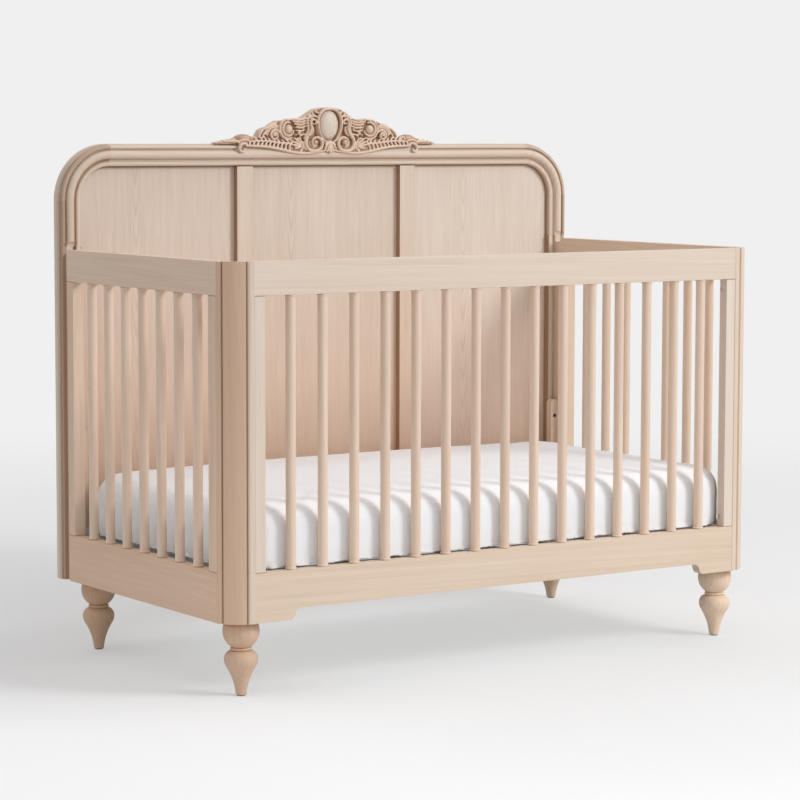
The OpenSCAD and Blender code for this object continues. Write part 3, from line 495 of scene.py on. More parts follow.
# For each piece: its grain, its cut, and the shares of painted shade on the lip, the outer quirk, the
# torus and the inner quirk; a painted shadow line follows the panels' edge.
for part, along, cut, lip, outer, torus, inner in (
    ("headboard_left_stile", "Z", (0.57, -0.30, 1.1), 0.65, 0.60, 0.10, 0.90),
    ("headboard_right_stile", "Z", (-0.66, -0.27, 3.8), 0.50, 0.50, 0.0, 0.10),
    ("headboard_left_corner", "right corner", (0.12, -0.41, 2.2), 0.50, 0.45, 0.06, 0.80),
    ("headboard_right_corner", "left corner", (0.35, -0.36, 5.4), 0.25, 0.35, 0.0, 0.12),
    ("headboard_top_rail", "X", (1.2, -0.28, 6.6), 0.0, 0.15, 0.0, 0.20),
):
    finished(part, painted_arch_shade(limed_wood(part + "_wood", along, cut, HEAD_PALE, HEAD_DARK), [
        (0.0, lip / 2), (0.0030, lip / 2), (0.0042, lip), (0.0106, lip), (0.0118, outer),
        (0.0146, outer), (0.0160, torus / 2), (0.0270, torus), (0.0330, inner / 3), (0.0350, inner),
        (0.0390, inner), (0.0402, 0.0), (0.0495, 0.0), (0.0505, 0.85), (0.0530, 0.85), (0.0540, 0.0),
        (0.060, 0.0),
    ]))
finished("headboard_bottom_rail",
         limed_wood("headboard_bottom_rail_wood", "X", (0.28, -0.33, 0.9), HEAD_PALE, HEAD_DARK))
# The mullions' sides are painted dark, and their foot warmer, as painted shade.
for part, cut in (("headboard_left_mullion", (0.25, -0.42, 7.2)),
                  ("headboard_right_mullion", (-0.19, -0.31, 4.1))):
    finished(part, painted_low_shade(painted_side_shade(limed_wood(part + "_wood", "Z", cut, HEAD_PALE, HEAD_DARK), 0.85)))


# ---------------------------------------------------------------------------------------------
# The three headboard panels, flat veneered boards in grooves, with crown-cut figure: tall points
# up the middle of a leaf and straight grain at its sides.

PANEL_PALE = (0.790, 0.668, 0.560)
PANEL_DARK = (0.655, 0.525, 0.415)

# The right panel is tinted paler as painted light; each panel is painted warmer towards its foot, with
# a painted shadow line along its edge, as painted shade.
for part, cut, tint in (("left_panel", (0.501, -0.300, 2.0), (0.99, 0.98, 1.0)),
                        ("center_panel", (0.088, -0.302, 6.3), (0.99, 0.99, 1.0)),
                        ("right_panel", (-0.406, -0.306, 9.1), (1.03, 1.06, 1.09))):
    wood = limed_wood(part + "_wood", "crown cut", cut, tinted(PANEL_PALE, tint),
                      tinted(PANEL_DARK, tint), 0.48, 0.0032)
    finished(part, painted_arch_shade(painted_low_shade(wood), [
        (0.0, 0.0), (0.0505, 0.0), (0.0515, 0.6), (0.0530, 0.6), (0.0545, 0.0), (0.06, 0.0),
    ]))


# ---------------------------------------------------------------------------------------------
# The crown: a carved ornament of scrolls and acanthus leaves in one piece, glued and pegged on
# the top rail, with a plain oval boss in a deep hollow. Its carving is pale, and its hollows are
# darker brown, partly a glaze left in the carving and partly painted shade. Sizes are in
# millimetres from the middle of the headboard's top edge, across and up, and depths are measured
# from the headboard's back towards the cot.

CROWN_GROUND = 31.0
CROWN_BACK = 9.0
CROWN_VOXEL = 0.0014
CROWN_FULLNESS = 1.2


def crown_point(across, up, depth):
    """A place on the crown, in metres on the crib."""
    return Vector((across / 1000, HEAD_BACK - depth / 1000, HEAD_TOP + up / 1000))


def gouge(carving, path, widths, depth, rise=1.5):
    """One carved strand along a smooth path, round in section and standing off the ground."""
    line = bpy.data.curves.new("strand", "CURVE")
    line.dimensions = "3D"
    line.bevel_depth = 0.001
    line.bevel_resolution = 3
    line.resolution_u = 5
    line.use_fill_caps = True
    run = line.splines.new("BEZIER")
    run.radius_interpolation = "BSPLINE" if len(path) > 2 else "LINEAR"
    run.bezier_points.add(len(path) - 1)
    depths = depth if isinstance(depth, (list, tuple)) else (depth, depth)
    for i, point in enumerate(path):
        share = i / (len(path) - 1)
        at = share * (len(widths) - 1)
        low = min(int(at), len(widths) - 2)
        width = widths[low] + (widths[low + 1] - widths[low]) * (at - low)
        way = depths[0] + (depths[1] - depths[0]) * share
        knot = run.bezier_points[i]
        knot.co = crown_point(point[0], point[1], way)
        knot.handle_left_type = knot.handle_right_type = "AUTO"
        knot.radius = width * CROWN_FULLNESS
    strand = bpy.data.objects.new("strand", line)
    bpy.context.scene.collection.objects.link(strand)
    bpy.context.view_layer.update()
    mesh = bpy.data.meshes.new_from_object(strand.evaluated_get(bpy.context.evaluated_depsgraph_get()))
    middle = HEAD_BACK - sum(depths) / 2000
    for vertex in mesh.vertices:
        vertex.co.y = middle + (vertex.co.y - middle) * rise
    carving.from_mesh(mesh)
    bpy.data.objects.remove(strand)
    bpy.data.curves.remove(line)
    bpy.data.meshes.remove(mesh)


def pearl(carving, across, up, depth, wide, high, deep):
    """A round or oval boss."""
    place = Matrix.Translation(crown_point(across, up, depth))
    size = Matrix.Diagonal((wide / 1000, deep / 1000, high / 1000, 1))
    bmesh.ops.create_uvsphere(carving, u_segments=28, v_segments=18, radius=1, matrix=place @ size)


def spiral(across, up, wide, narrow, start, sweep, steps=14):
    """Points that wind inwards round a centre, from a start angle through a sweep, in degrees."""
    points = []
    for i in range(steps + 1):
        share = i / steps
        reach = wide + (narrow - wide) * share ** 0.8
        angle = math.radians(start + sweep * share)
        points.append((across + reach * math.cos(angle), up + reach * math.sin(angle)))
    return points


def ground(carving, outline, back, front, foot=0):
    """The ground behind the carving: an outline stood up and given its thickness.

    Below the rail's top edge the ground may come forward, by the foot, over the rail's moulding.
    """
    edge = [carving.verts.new(crown_point(x, z, back)) for x, z in outline]
    face = carving.faces.new(edge)
    sheet = bmesh.ops.extrude_face_region(carving, geom=[face])
    moved = [g for g in sheet["geom"] if isinstance(g, bmesh.types.BMVert)]
    bmesh.ops.translate(carving, vec=(0, (back - front) / 1000, 0), verts=moved)
    low = [v for v in moved if v.co.z < HEAD_TOP - 0.002]
    bmesh.ops.translate(carving, vec=(0, -foot / 1000, 0), verts=low)


half_crown = bmesh.new()
ground(half_crown, [
    (-3, -15), (30, -18), (70, -21), (110, -17), (143, -11), (178, -6), (212, -5), (234, -6),
    (258, -1), (300, 0), (307, 1), (304, 3.5), (288, 6.5), (262, 9), (252, 13), (214, 15),
    (203, 11), (196, 13), (184, 32), (176, 36), (161, 40), (148, 49), (137, 54), (80, 56),
    (62, 65), (46, 75), (32, 82), (16, 85), (-3, 85.5),
], CROWN_BACK, CROWN_GROUND)
ground(half_crown, [
    (-3, -14), (30, -17), (70, -20), (110, -16), (143, -10), (178, -5), (212, -4), (226, -3),
    (226, 8), (180, 10), (140, 11), (100, 11), (60, 11), (-3, 11),
], CROWN_GROUND - 4, CROWN_GROUND + 0.5, 7.5)

# The bead along the lower edge, from the foot of the oval to the hook
gouge(half_crown, [(6, -14), (30, -18.5), (70, -22), (110, -18), (143, -11.5), (178, -6.5), (212, -5),
                   (230, -4)], (1.6, 2.6, 3.0, 2.6, 2.0), 40.5, 1.3)

# The hood round the oval, and the flutes on its shoulder
gouge(half_crown, [(3, 0), (16, 8.5), (28.3, 27), (32.6, 46), (29.6, 65), (17.6, 78.2), (-2, 82.4)],
      (1.5, 1.9, 2.3, 2.5, 2.6, 2.6), (40, 39), 1.9)
for start, end, width in (
    ((33, 62), (47, 75), 3.0), ((37, 54), (58, 67), 3.0), ((41, 63), (53, 71), 1.8),
    ((39, 45), (64, 62), 2.8), ((30, 72), (36, 80), 2.4),
):
    bend = ((start[0] + end[0]) / 2 + 2.5, (start[1] + end[1]) / 2 - 1.5)
    gouge(half_crown, [start, bend, end], (1.4, width, 1.8), (35, 33), 1.9)

# The column beside the oval, which curls over at its head and runs down into the great volute
gouge(half_crown, [(63, 15), (55, 25), (51, 37), (53, 48), (49, 56.5), (41.5, 56), (38.5, 49.5),
                   (43, 46)], (3.0, 3.4, 3.2, 2.9, 2.5, 2.1, 1.8, 1.5), (38, 41), 1.7)
gouge(half_crown, [(71, 12), (62, 24), (58.5, 37), (60.5, 49), (57, 60), (50, 65)],
      (1.4, 1.9, 2.0, 1.8, 1.2), 36, 2.2)
gouge(half_crown, [(57, 18), (49, 22), (44, 32), (45, 41)], (1.2, 2.0, 2.0, 1.0), 36, 2.0)
gouge(half_crown, [(63, 15), (67.5, 3), (61, -11), (45, -17), (28, -11.5), (22.5, 1), (29, 12.5),
                   (41, 14.5), (49.5, 8), (49, -1.5), (41, -5.5)],
      (3.2, 3.7, 3.8, 3.7, 3.5, 3.2, 2.9, 2.5, 2.1, 1.8, 1.4), (40, 43), 1.3)
pearl(half_crown, 40.5, 3.8, 40, 5.2, 5.2, 8.5)
gouge(half_crown, [(74, 5), (73, -6), (66, -15)], (1.2, 2.0, 1.2), 39, 1.6)

# The ringed boss with its ball, and the strands that flow into it
pearl(half_crown, 113, 34, 36, 10.2, 10.2, 10.5)
gouge(half_crown, spiral(113, 34, 16.5, 14.8, 118, -290), (1.3, 2.8, 3.0, 2.9, 2.4, 1.4), 36, 1.9)
gouge(half_crown, spiral(113, 34, 23.5, 22.5, 96, -215), (1.4, 2.4, 2.8, 2.6, 1.6), 34, 2.2)
for start, bend, turn, end, width in (
    ((60, 61), (78, 56.5), (98, 57.5), (118, 55.5), 2.5),
    ((61, 55), (76, 50.5), (90, 51.5), (102, 52), 2.0),
    ((62, 49), (75, 44.5), (88, 45), (97, 46), 2.1),
    ((63, 42), (75, 37.5), (86, 38), (95, 39), 2.0),
    ((66, 34), (76, 30), (85, 30.5), (93, 32), 1.9),
):
    gouge(half_crown, [start, bend, turn, end], (1.3, width, width, 1.2), (35, 37), 1.9)
pearl(half_crown, 84, 24, 37, 3.8, 3.8, 6)
pearl(half_crown, 92, 20.5, 36, 2.6, 2.6, 5)
gouge(half_crown, [(66, 22), (76, 21), (82, 16)], (1.2, 2.2, 1.3), 36, 1.8)

# The leaf that opens between the volute and the boss
for end, bend, width in (
    ((91, 12.5), (84, 12), 2.2), ((101, 14), (89, 7.5), 2.4), ((111, 9.5), (92, 1.5), 2.6),
    ((108, -1), (90, -4.5), 2.6), ((98, -10.5), (86, -9), 2.5), ((84, -16), (77, -13), 2.3),
):
    gouge(half_crown, [(74, -3), bend, end], (1.6, width, width + 0.3, 1.2), (37.5, 40), 1.5)

# The small scroll with its striped back
gouge(half_crown, spiral(150, 20, 14.0, 3.2, 150, -560, 20),
      (2.4, 2.5, 2.4, 2.2, 2.0, 1.8, 1.6, 1.4), (36, 40), 1.7)
pearl(half_crown, 150, 20, 37, 3.3, 3.3, 6.5)
for reach, start, sweep, width in (
    (19, 140, -150, 1.9), (23.5, 120, -120, 1.9), (27.5, 104, -84, 1.5),
):
    gouge(half_crown, spiral(150, 20, reach, reach - 1, start, sweep, 8),
          (1.2, width, width, 1.1), 34, 2.0)

# The long leaf that runs from the small scroll to the hook, with lobes above and below its rib
gouge(half_crown, [(104, 1), (130, 1.5), (160, 5), (190, 7), (222, 5)], (2.0, 1.9, 1.6, 1.3), 40, 1.3)
for lobe in range(11):
    root = 106 + 10.8 * lobe
    rib = 1 + 0.055 * (root - 104)
    low = -16 + 0.105 * (root - 108)
    gouge(half_crown, [(root, rib), (root + 5.5, (rib + low) / 2 + 1), (root + 6.5, low + 1.5)],
          (1.3, 2.7, 1.8), (39, 41), 1.35)
for lobe in range(9):
    root = 112 + 12 * lobe
    rib = 1.5 + 0.055 * (root - 104)
    tall = (9, 7.5, 7, 6.5, 9, 12, 12, 9, 6)[lobe]
    gouge(half_crown, [(root, rib), (root + 4, rib + 0.55 * tall), (root + 9, rib + tall)],
          (1.3, 2.5, 1.3), (37, 36), 1.6)

# The cheek that climbs from the long leaf to the small scroll
for start, bend, end, width in (
    ((178, 34), (187, 26), (193, 13), 3.2), ((171, 31), (179, 22), (184, 12), 2.6),
    ((166, 38), (173, 37), (180, 33), 2.4),
):
    gouge(half_crown, [start, bend, end], (1.6, width, 1.5), (33, 34), 2.0)

# The smooth dome over the hook, its curl, and the hook itself
pearl(half_crown, 228, 8, 21, 25.5, 14.5, 20)
gouge(half_crown, [(203, 9), (206, 15), (212, 14.5), (212, 9.5), (208, 8.5)],
      (1.6, 2.3, 2.1, 1.6, 1.2), 37, 1.6)
gouge(half_crown, [(216, 4), (228, 9), (241, 8), (251, 2)], (1.4, 2.4, 2.4, 1.4), 39, 1.4)
gouge(half_crown, [(226, 0), (237, 1), (245, -4), (247, -12), (241.5, -18), (235, -15.5),
                   (236.5, -10.5)], (2.2, 3.2, 3.4, 3.2, 2.7, 2.2, 1.7), (39, 42), 1.4)

# The flattened leaf at the tip
gouge(half_crown, [(248, 5), (266, 6), (286, 4.5), (303, 2)], (3.0, 3.2, 2.8, 1.4), (34, 26), 1.6)
for start, end in (((254, 6), (262, 11.5)), ((268, 5.5), (276, 10)), ((281, 4.5), (289, 8)),
                   ((292, 3), (299, 5))):
    bend = ((start[0] + end[0]) / 2, end[1] - 1.5)
    gouge(half_crown, [start, bend, end], (1.5, 2.4, 1.2), (33, 28), 2.0)

# The leaf at the foot of the oval
for end, bend, width in (((-1, -22), (-1, -8), 3.0), ((9, -19.5), (6, -9), 2.6),
                         ((16, -13), (10, -3), 2.4), ((15, -2), (8, 2), 2.0)):
    gouge(half_crown, [(0, 6), bend, end], (1.6, width, 1.7), (40, 42.5), 1.4)

# The left half is the right half turned over. The strands then grow together into one piece.
left_half = half_crown.copy()
bmesh.ops.scale(left_half, vec=(-1, 1, 1), verts=left_half.verts)
bmesh.ops.reverse_faces(left_half, faces=left_half.faces)
left_data = bpy.data.meshes.new("left_half")
left_half.to_mesh(left_data)
left_half.free()
half_crown.from_mesh(left_data)
bpy.data.meshes.remove(left_data)
crown = stood("crown_relief", half_crown)


def settled(piece):
    """Makes what a piece's modifiers do part of its mesh, and takes them off."""
    bpy.context.view_layer.update()
    shape = bpy.data.meshes.new_from_object(piece.evaluated_get(bpy.context.evaluated_depsgraph_get()))
    piece.modifiers.clear()
    piece.data = shape
    shape.name = piece.name
    return shape


def grown_together(piece, cell):
    """Grows a piece's shapes into one closed skin, in cells of a size."""
    skin = piece.modifiers.new("skin", "REMESH")
    skin.mode = "VOXEL"
    skin.voxel_size = cell


def vectors_of(mesh, kind):
    """The places of a mesh's points, or the ways they face, as an array."""
    values = np.empty(len(mesh.vertices) * 3, np.float64)
    mesh.vertices.foreach_get(kind, values)
    return values.reshape(-1, 3)


def noted(mesh, name, values):
    """Keeps a value for each of a mesh's points, for the finish to read."""
    mesh.attributes.new(name, "FLOAT", "POINT").data.foreach_set("value", values.astype(np.float32))


grown_together(crown, CROWN_VOXEL)
eased = crown.modifiers.new("eased", "SMOOTH")
eased.factor = 0.5
eased.iterations = 3
crown_data = settled(crown)
crown_data.polygons.foreach_set("use_smooth", [True] * len(crown_data.polygons))

# How deep each point lies in the carving, against the surface around it, near and wide: there the
# carving is made darker brown, partly as a glaze left in it and partly as painted shade. The
# ground between the strands, and the part above the dome over the hook, are darkened the same way.
GLAZE_AND_SHADE_REACHES = {4: 900, 14: 700}
GROUND_FADE = 6
HOOK_MIDDLE = 0.229
HOOK_HALF = 0.029
HOOK_FADE = 0.006
HOOK_GLAZE_AND_SHADE = 0.55

points = vectors_of(crown_data, "co")
normals = vectors_of(crown_data, "normal")
edges = np.empty(len(crown_data.edges) * 2, np.int64)
crown_data.edges.foreach_get("vertices", edges)
edges = edges.reshape(-1, 2)
neighbours = np.bincount(edges.ravel(), minlength=len(points)).reshape(-1, 1)
levelled = points.copy()
hollow = np.zeros(len(points))
for step in range(1, max(GLAZE_AND_SHADE_REACHES) + 1):
    around = np.zeros_like(levelled)
    np.add.at(around, edges[:, 0], levelled[edges[:, 1]])
    np.add.at(around, edges[:, 1], levelled[edges[:, 0]])
    levelled = around / neighbours
    if step in GLAZE_AND_SHADE_REACHES:
        hollow += ((levelled - points) * normals).sum(1) * GLAZE_AND_SHADE_REACHES[step]
depths = (HEAD_BACK - points[:, 1]) * 1000
facing = np.clip(-normals[:, 1], 0, 1)
on_ground = np.clip((CROWN_GROUND + GROUND_FADE - depths) / GROUND_FADE, 0, 1)
hollow += facing * on_ground * (points[:, 2] > HEAD_TOP + 0.008)
over_hook = np.clip((HOOK_HALF - np.abs(np.abs(points[:, 0]) - HOOK_MIDDLE)) / HOOK_FADE, 0, 1)
hollow += HOOK_GLAZE_AND_SHADE * over_hook * np.clip((points[:, 2] - HEAD_TOP) / HOOK_FADE, 0, 1)
noted(crown_data, "hollow", np.clip(0.5 + 0.5 * hollow, 0, 1))

CARVED_PALE = (0.820, 0.655, 0.530)
CARVED_DARK = (0.680, 0.500, 0.370)
CARVED_GLAZE_AND_SHADE = (0.440, 0.250, 0.150)

crown_data.materials.clear()
carved = limed_wood("crown_wood", "X", (0.9, -0.33, 3.4), CARVED_PALE, CARVED_DARK)
# The hollows are coloured darker brown, partly as glaze and partly as painted shade.
hollows = wired(carved.node_tree, "Attribute", {}, attribute_name="hollow")["Fac"]
glazed_and_shaded(carved, banded(carved, hollows, [
    (0.0, 0.0), (0.40, 0.0), (0.62, 0.5), (0.85, 1.0), (1.0, 1.0),
]), CARVED_GLAZE_AND_SHADE)
crown_data.materials.append(carved)
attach(crown, "crib_frame")
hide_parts("crown_carving")

# The oval boss, a separate smooth turning let into the hollow
BOSS_MIDDLE = crown_point(0, 44.5, CROWN_GROUND - 2)
BOSS_SIZE = (0.0274, 0.0165, 0.0366)

boss_shape = bmesh.new()
bmesh.ops.create_uvsphere(
    boss_shape, u_segments=64, v_segments=40, radius=1,
    matrix=Matrix.Translation(BOSS_MIDDLE) @ Matrix.Diagonal((*BOSS_SIZE, 1)),
)
bmesh.ops.bisect_plane(
    boss_shape, geom=boss_shape.verts[:] + boss_shape.edges[:] + boss_shape.faces[:], dist=1e-6,
    plane_co=BOSS_MIDDLE, plane_no=(0, 1, 0), clear_outer=True,
)
bmesh.ops.holes_fill(boss_shape, edges=[e for e in boss_shape.edges if e.is_boundary], sides=0)
for face in boss_shape.faces:
    face.smooth = len(face.verts) < 5
boss = stood("crown_boss", boss_shape)
boss.data.materials.append(
    limed_wood("crown_boss_wood", "Z", (0.02, -0.35, 2.2), STILE_PALE, STILE_DARK))
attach(boss, "crib_frame")
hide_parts("crown_medallion")


# ---------------------------------------------------------------------------------------------
# The four feet, turned from solid blocks: a ball, a small ring and a long taper, each on a steel
# stud under its corner.

FOOT_SHADE = (0.78, 0.72, 0.65)

# The feet differ in tone as painted light and shade: the front right foot, on the lit side, is pale,
# and the left feet darker and warmer. A band at the top of each ball is painted dark as the shadow
# under the frame.
for foot, cut, pale in (
    ("front_left_foot", (0.60, 0.30, 1.9), (0.710, 0.505, 0.370)),
    ("front_right_foot", (-0.66, 0.33, 4.4), (0.910, 0.720, 0.560)),
    ("rear_left_foot", (0.67, -0.28, 6.8), (0.730, 0.510, 0.350)),
    ("rear_right_foot", (-0.61, -0.34, 8.7), (0.770, 0.580, 0.440)),
):
    wood = limed_wood(foot + "_wood", "Z", cut, pale, tinted(pale, FOOT_SHADE), 0.24)
    finished(foot, glazed_and_shaded(wood, banded(wood, placed(wood)["Z"], [
        (0.140, 0.0), (0.146, 0.0), (0.155, 0.7), (0.160, 0.7),
    ])))


# ---------------------------------------------------------------------------------------------
# The foot blocks and the bolt pads in the inner corners: plain hardwood blocks, glued and
# screwed, that take the feet's studs and the mattress support's bolts.

# The blocks and pads take the end frames' tones, which are tinted as painted shade.
for corner, cut in (
    ("front_left", (0.58, 0.24, 0.4)), ("front_right", (-0.72, 0.38, 3.0)),
    ("rear_left", (0.71, -0.22, 5.5)), ("rear_right", (-0.55, -0.39, 7.4)),
):
    for block, along in ((corner + "_foot_block", "X"), (corner + "_bolt_pad", "Z")):
        finished(block, limed_wood(block + "_wood", along, cut, END_SHADED_PALE, END_SHADED_DARK))


# ---------------------------------------------------------------------------------------------
# The mattress support: four steel angles, cross slats and four hanger plates, under a white powder
# coat with a fine orange-peel skin.

COAT_WHITE = (0.800, 0.800, 0.780)


def mottled(tree, scale, detail):
    """A random pattern over a piece, which gets finer as its scale grows."""
    place = wired(tree, "TexCoord", {})["Object"]
    return wired(tree, "TexNoise", {"Vector": place, "Scale": scale, "Detail": detail})["Fac"]


def coated(name, colour):
    """A moulded or baked skin in one colour, a little dusty, with a fine orange peel."""
    coat = bpy.data.materials.new(name)
    coat.use_nodes = True
    tree = coat.node_tree
    peel = {"Strength": 0.3, "Distance": 0.0001, "Height": mottled(tree, 900, 2)}
    fed(tree, tree.nodes["Principled BSDF"], {
        "Base Color": toned(tree, mottled(tree, 14, 4), 0.3, colour, 0.7, tinted(colour, (0.9,) * 3)),
        "Roughness": 0.45, "Normal": wired(tree, "Bump", peel)["Normal"],
    })
    return coat


support_coat = coated("support_coat", COAT_WHITE)
for part in (
    "support_front_rail", "support_rear_rail", "support_left_rail", "support_right_rail",
    "support_slats", "front_left_hanger", "front_right_hanger", "rear_left_hanger", "rear_right_hanger",
):
    finished(part, support_coat)


# ---------------------------------------------------------------------------------------------
# The bolts, inserts and studs are bright zinc-plated steel, and the glides under the feet are
# dark nylon.

ZINC_DARK = (0.600, 0.610, 0.630)
ZINC_PALE = (0.720, 0.730, 0.740)
NYLON_DARK = (0.200, 0.190, 0.180)

zinc = bpy.data.materials.new("zinc")
zinc.use_nodes = True
zinc_tree = zinc.node_tree
spangle = mottled(zinc_tree, 260, 3)
fed(zinc_tree, zinc_tree.nodes["Principled BSDF"], {
    "Base Color": toned(zinc_tree, spangle, 0.3, ZINC_DARK, 0.7, ZINC_PALE),
    "Roughness": ranged(zinc_tree, spangle, 0.0, 1.0, 0.26, 0.42), "Metallic": 1.0,
})
for part in (
    "foot_studs", "support_bolts", "support_inserts", "front_frame_bolts", "front_frame_inserts",
    "headboard_bolts", "headboard_inserts",
):
    finished(part, zinc)
finished("foot_glides", coated("nylon", NYLON_DARK))


# ---------------------------------------------------------------------------------------------
# The mattress: a foam core in a white cotton fitted sheet, drawn tight round soft edges. The sheet
# has a sewn dart at each corner, and an elastic hem gathers it underneath, over the quilted ticking.

mattress_low, mattress_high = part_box("mattress")
MATTRESS_MIDDLE = (mattress_low + mattress_high) / 2
MATTRESS_SIZE = mattress_high - mattress_low
MATTRESS_CORNER = 0.070
MATTRESS_TOP_EDGE = 0.046
MATTRESS_FOOT_EDGE = 0.010
MATTRESS_FOOT = 0.12
MATTRESS_CROWN = 0.011
SHEET_SLACK = 0.006
SHEET_SWELL = 0.004
SHEET_CELL = 0.010
SHEET_MOMENTS = 20
HEM_REACH = 0.085
SHEET_WHITE = (0.905, 0.920, 0.940)
SHEET_PAINTED_TOP_LIGHT = (0.965, 0.975, 1.000)
TICKING_CREAM = (0.800, 0.780, 0.740)

core = bmesh.new()
bmesh.ops.create_cube(core, size=1)
bmesh.ops.scale(core, vec=MATTRESS_SIZE - Vector((2, 2, 2)) * SHEET_SLACK, verts=core.verts)
bmesh.ops.translate(core, vec=MATTRESS_MIDDLE, verts=core.verts)
upright = [e for e in core.edges if abs(e.verts[0].co.z - e.verts[1].co.z) > 0.05]
bmesh.ops.bevel(
    core, geom=upright, affect="EDGES", offset=MATTRESS_CORNER, segments=10, profile=0.5, material=-1)
for height, rounding in ((mattress_high.z - SHEET_SLACK, MATTRESS_TOP_EDGE),
                         (mattress_low.z + SHEET_SLACK, MATTRESS_FOOT_EDGE)):
    brim = [e for e in core.edges if all(abs(v.co.z - height) < 0.001 for v in e.verts)]
    bmesh.ops.bevel(
        core, geom=brim, affect="EDGES", offset=rounding, segments=7, profile=0.5, material=-1)
mattress = stood("mattress_cover", core)
grown_together(mattress, SHEET_CELL)
mattress_data = settled(mattress)
slack = vectors_of(mattress_data, "co")

cloth = mattress.modifiers.new("blown", "CLOTH")
cloth.settings.use_pressure = True
cloth.settings.uniform_pressure_force = 4
cloth.settings.effector_weights.gravity = 0
cloth.settings.mass = 0.3
cloth.settings.quality = 6
cloth.collision_settings.use_collision = False
cloth.point_cache.frame_start = 1
cloth.point_cache.frame_end = SHEET_MOMENTS
for moment in range(1, SHEET_MOMENTS + 1):
    bpy.context.scene.frame_set(moment)
mattress_data = settled(mattress)
bpy.context.scene.frame_set(1)
tight = vectors_of(mattress_data, "co")

# The foam holds the sheet out to its own shape, and lets it swell by the slack at the sides and a
# little more in the middle of the top.
normals = vectors_of(mattress_data, "normal")
middle, half = np.array(MATTRESS_MIDDLE), np.array(MATTRESS_SIZE) / 2
inward = (half - np.abs(slack - middle))[:, :2].min(1)
most = SHEET_SLACK + SHEET_SWELL * np.clip(inward / 0.25, 0, 1) * (slack[:, 2] > middle[2])
swell = ((tight - slack) * normals).sum(1)
tight = slack + normals * np.clip(swell, 0.75 * SHEET_SLACK, most)[:, None]
tight[:, 2] = np.maximum(tight[:, 2], mattress_low.z)
mattress_data.vertices.foreach_set("co", tight.ravel())
finer = mattress.modifiers.new("finer", "SUBSURF")
finer.levels = finer.render_levels = 1
mattress_data = settled(mattress)

points = vectors_of(mattress_data, "co")
normals = vectors_of(mattress_data, "normal")
across, along = (half - np.abs(points - middle))[:, :2].T
to_side = np.minimum(across, along)
rise = (points[:, 2] - mattress_low.z) / MATTRESS_SIZE.z
level = np.hypot(normals[:, 0], normals[:, 1])
underside = (normals[:, 2] < -0.6) & (rise < 0.1)
to_hem = to_side - HEM_REACH

# The darts at the corners, the pull of the cloth round them, and the gathers inside the hem
DART_HALF = 0.0042
DART_REACH = 0.045
DART_DEPTH = 0.0013
PULL_REACH = 0.22
PULL_HEIGHT = 0.0007
GATHER_REACH = 0.030

off_dart = np.abs(across - along) / math.sqrt(2)
dart = np.exp(-(off_dart / DART_HALF) ** 2) * (to_side < DART_REACH) * np.clip(rise * 8, 0, 1)
near_corner = np.clip(1 - np.hypot(across, along) / PULL_REACH, 0, 1)
pull = np.sin(np.arctan2(across - 0.03, along - 0.03) * 13 + 9 * rise) * near_corner ** 2
gather = np.sin((points[:, 0] + points[:, 1]) * 260) * np.exp(-(to_hem / GATHER_REACH) ** 2)
lift = PULL_HEIGHT * pull * (rise > 0.02) - DART_DEPTH * dart

# The square foot, where the hem turns under, which stands flush with the foam's own sides
squared = (normals[:, 2] < -0.05) & (level > 0.25) & (rise < MATTRESS_FOOT)
out = squared * MATTRESS_FOOT_EDGE * 0.8
points[:, :2] += normals[:, :2] * (out * (1 - level) / np.maximum(level, 0.001))[:, None]
points[:, 2] -= out * (1 + normals[:, 2])
for axis, other in ((0, along), (1, across)):
    way = points[:, axis] - middle[axis]
    inset = half[axis] - np.abs(way)
    flush = (rise < MATTRESS_FOOT) & (level > 0.25) & (other > MATTRESS_CORNER)
    points[:, axis] += (flush & (inset < MATTRESS_FOOT_EDGE)) * inset * np.sign(way)

# The crown of the foam, which is fullest along the back and sits lower in front
fullness = 1 - np.abs((points[:, 0] - middle[0]) / half[0]) ** 3
backwards = np.clip((points[:, 1] - mattress_low.y) / 0.3, 0, 1)
fullness *= backwards ** 2 * (3 - 2 * backwards) * np.clip((rise - 0.3) / 0.6, 0, 1)
points[:, 2] += MATTRESS_CROWN * fullness

points += normals * lift[:, None]
points[:, 2] += underside * (0.0016 + 0.0014 * gather + 0.003 * (to_hem > 0))
points[:, 2] = np.maximum(points[:, 2], mattress_low.z)
points[:, :2] = np.clip(points[:, :2], mattress_low[:2], mattress_high[:2])
mattress_data.vertices.foreach_set("co", points.ravel())
noted(mattress_data, "ticking", underside * np.clip(to_hem / 0.006, 0, 1))
noted(mattress_data, "seam", dart)
mattress_data.polygons.foreach_set("use_smooth", [True] * len(mattress_data.polygons))

# Plain woven cotton, a little uneven, painted lighter on its top as painted light, with the ticking
# under the hem
THREAD_PITCH = 0.0009

sheet = bpy.data.materials.new("cotton_sheet")
sheet.use_nodes = True
sheet_tree = sheet.node_tree
sheet_place = wired(sheet_tree, "TexCoord", {})["Object"]


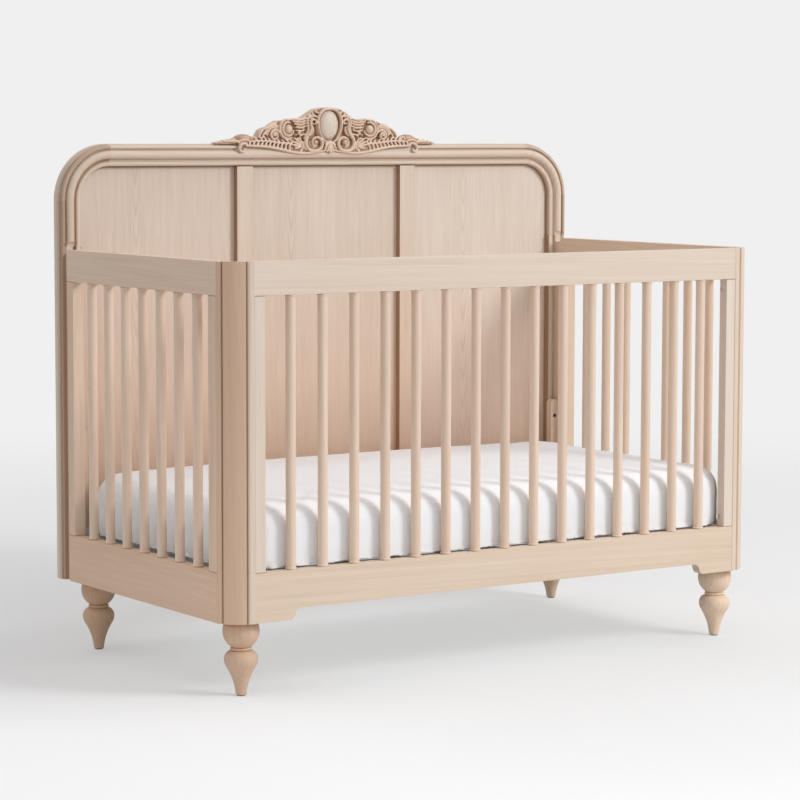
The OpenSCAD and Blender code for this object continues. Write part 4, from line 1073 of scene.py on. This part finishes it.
def thread(direction):
    """The threads of the cloth that lie side by side in a direction."""
    return wired(sheet_tree, "TexWave", {
        "Vector": sheet_place, "Scale": WAVE_LENGTH / THREAD_PITCH, "Distortion": 0.6, "Detail": 1,
    }, wave_type="BANDS", bands_direction=direction, wave_profile="SIN")["Fac"]


def with_share(first, second, share):
    """A value with a share of a second one added."""
    return wired(sheet_tree, "Math", {0: second, 1: share, 2: first}, operation="MULTIPLY_ADD")[0]


weave = with_share(with_share(thread("X"), thread("Y"), 1.0), thread("Z"), 1.0)
slub = mottled(sheet_tree, 420, 3)
crease = mottled(sheet_tree, 5, 2)
washed = toned(sheet_tree, with_share(crease, slub, 0.12), 0.35, tinted(SHEET_WHITE, (0.965,) * 3),
               0.62, SHEET_WHITE)
upwards = wired(sheet_tree, "SeparateXYZ", {0: wired(sheet_tree, "NewGeometry", {})["Normal"]})["Z"]
# The faces that look up are painted lighter, as painted light.
painted_top_light = wired(sheet_tree, "Mix", {
    "Factor": ranged(sheet_tree, upwards, 0.3, 0.95), "A": washed, "B": (*SHEET_PAINTED_TOP_LIGHT, 1),
}, data_type="RGBA")["Result"]
covered = wired(sheet_tree, "Mix", {
    "Factor": wired(sheet_tree, "Attribute", {}, attribute_name="ticking")["Fac"],
    "A": painted_top_light, "B": (*TICKING_CREAM, 1),
}, data_type="RGBA")["Result"]
fine = wired(sheet_tree, "Bump", {
    "Strength": 0.35, "Distance": 0.0002, "Height": with_share(weave, slub, 1.2),
})["Normal"]
stitched = wired(sheet_tree, "Attribute", {}, attribute_name="seam")["Fac"]
broad = wired(sheet_tree, "Bump", {
    "Strength": 0.25, "Distance": 0.003, "Height": with_share(crease, stitched, -0.2), "Normal": fine,
})["Normal"]
fed(sheet_tree, sheet_tree.nodes["Principled BSDF"], {
    "Base Color": covered, "Normal": broad, "Roughness": 0.85, "Specular IOR Level": 0.25,
    "Sheen Weight": 0.15, "Sheen Roughness": 0.5,
})
mattress_data.materials.clear()
mattress_data.materials.append(sheet)
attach(mattress, "mattress")
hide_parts("mattress")
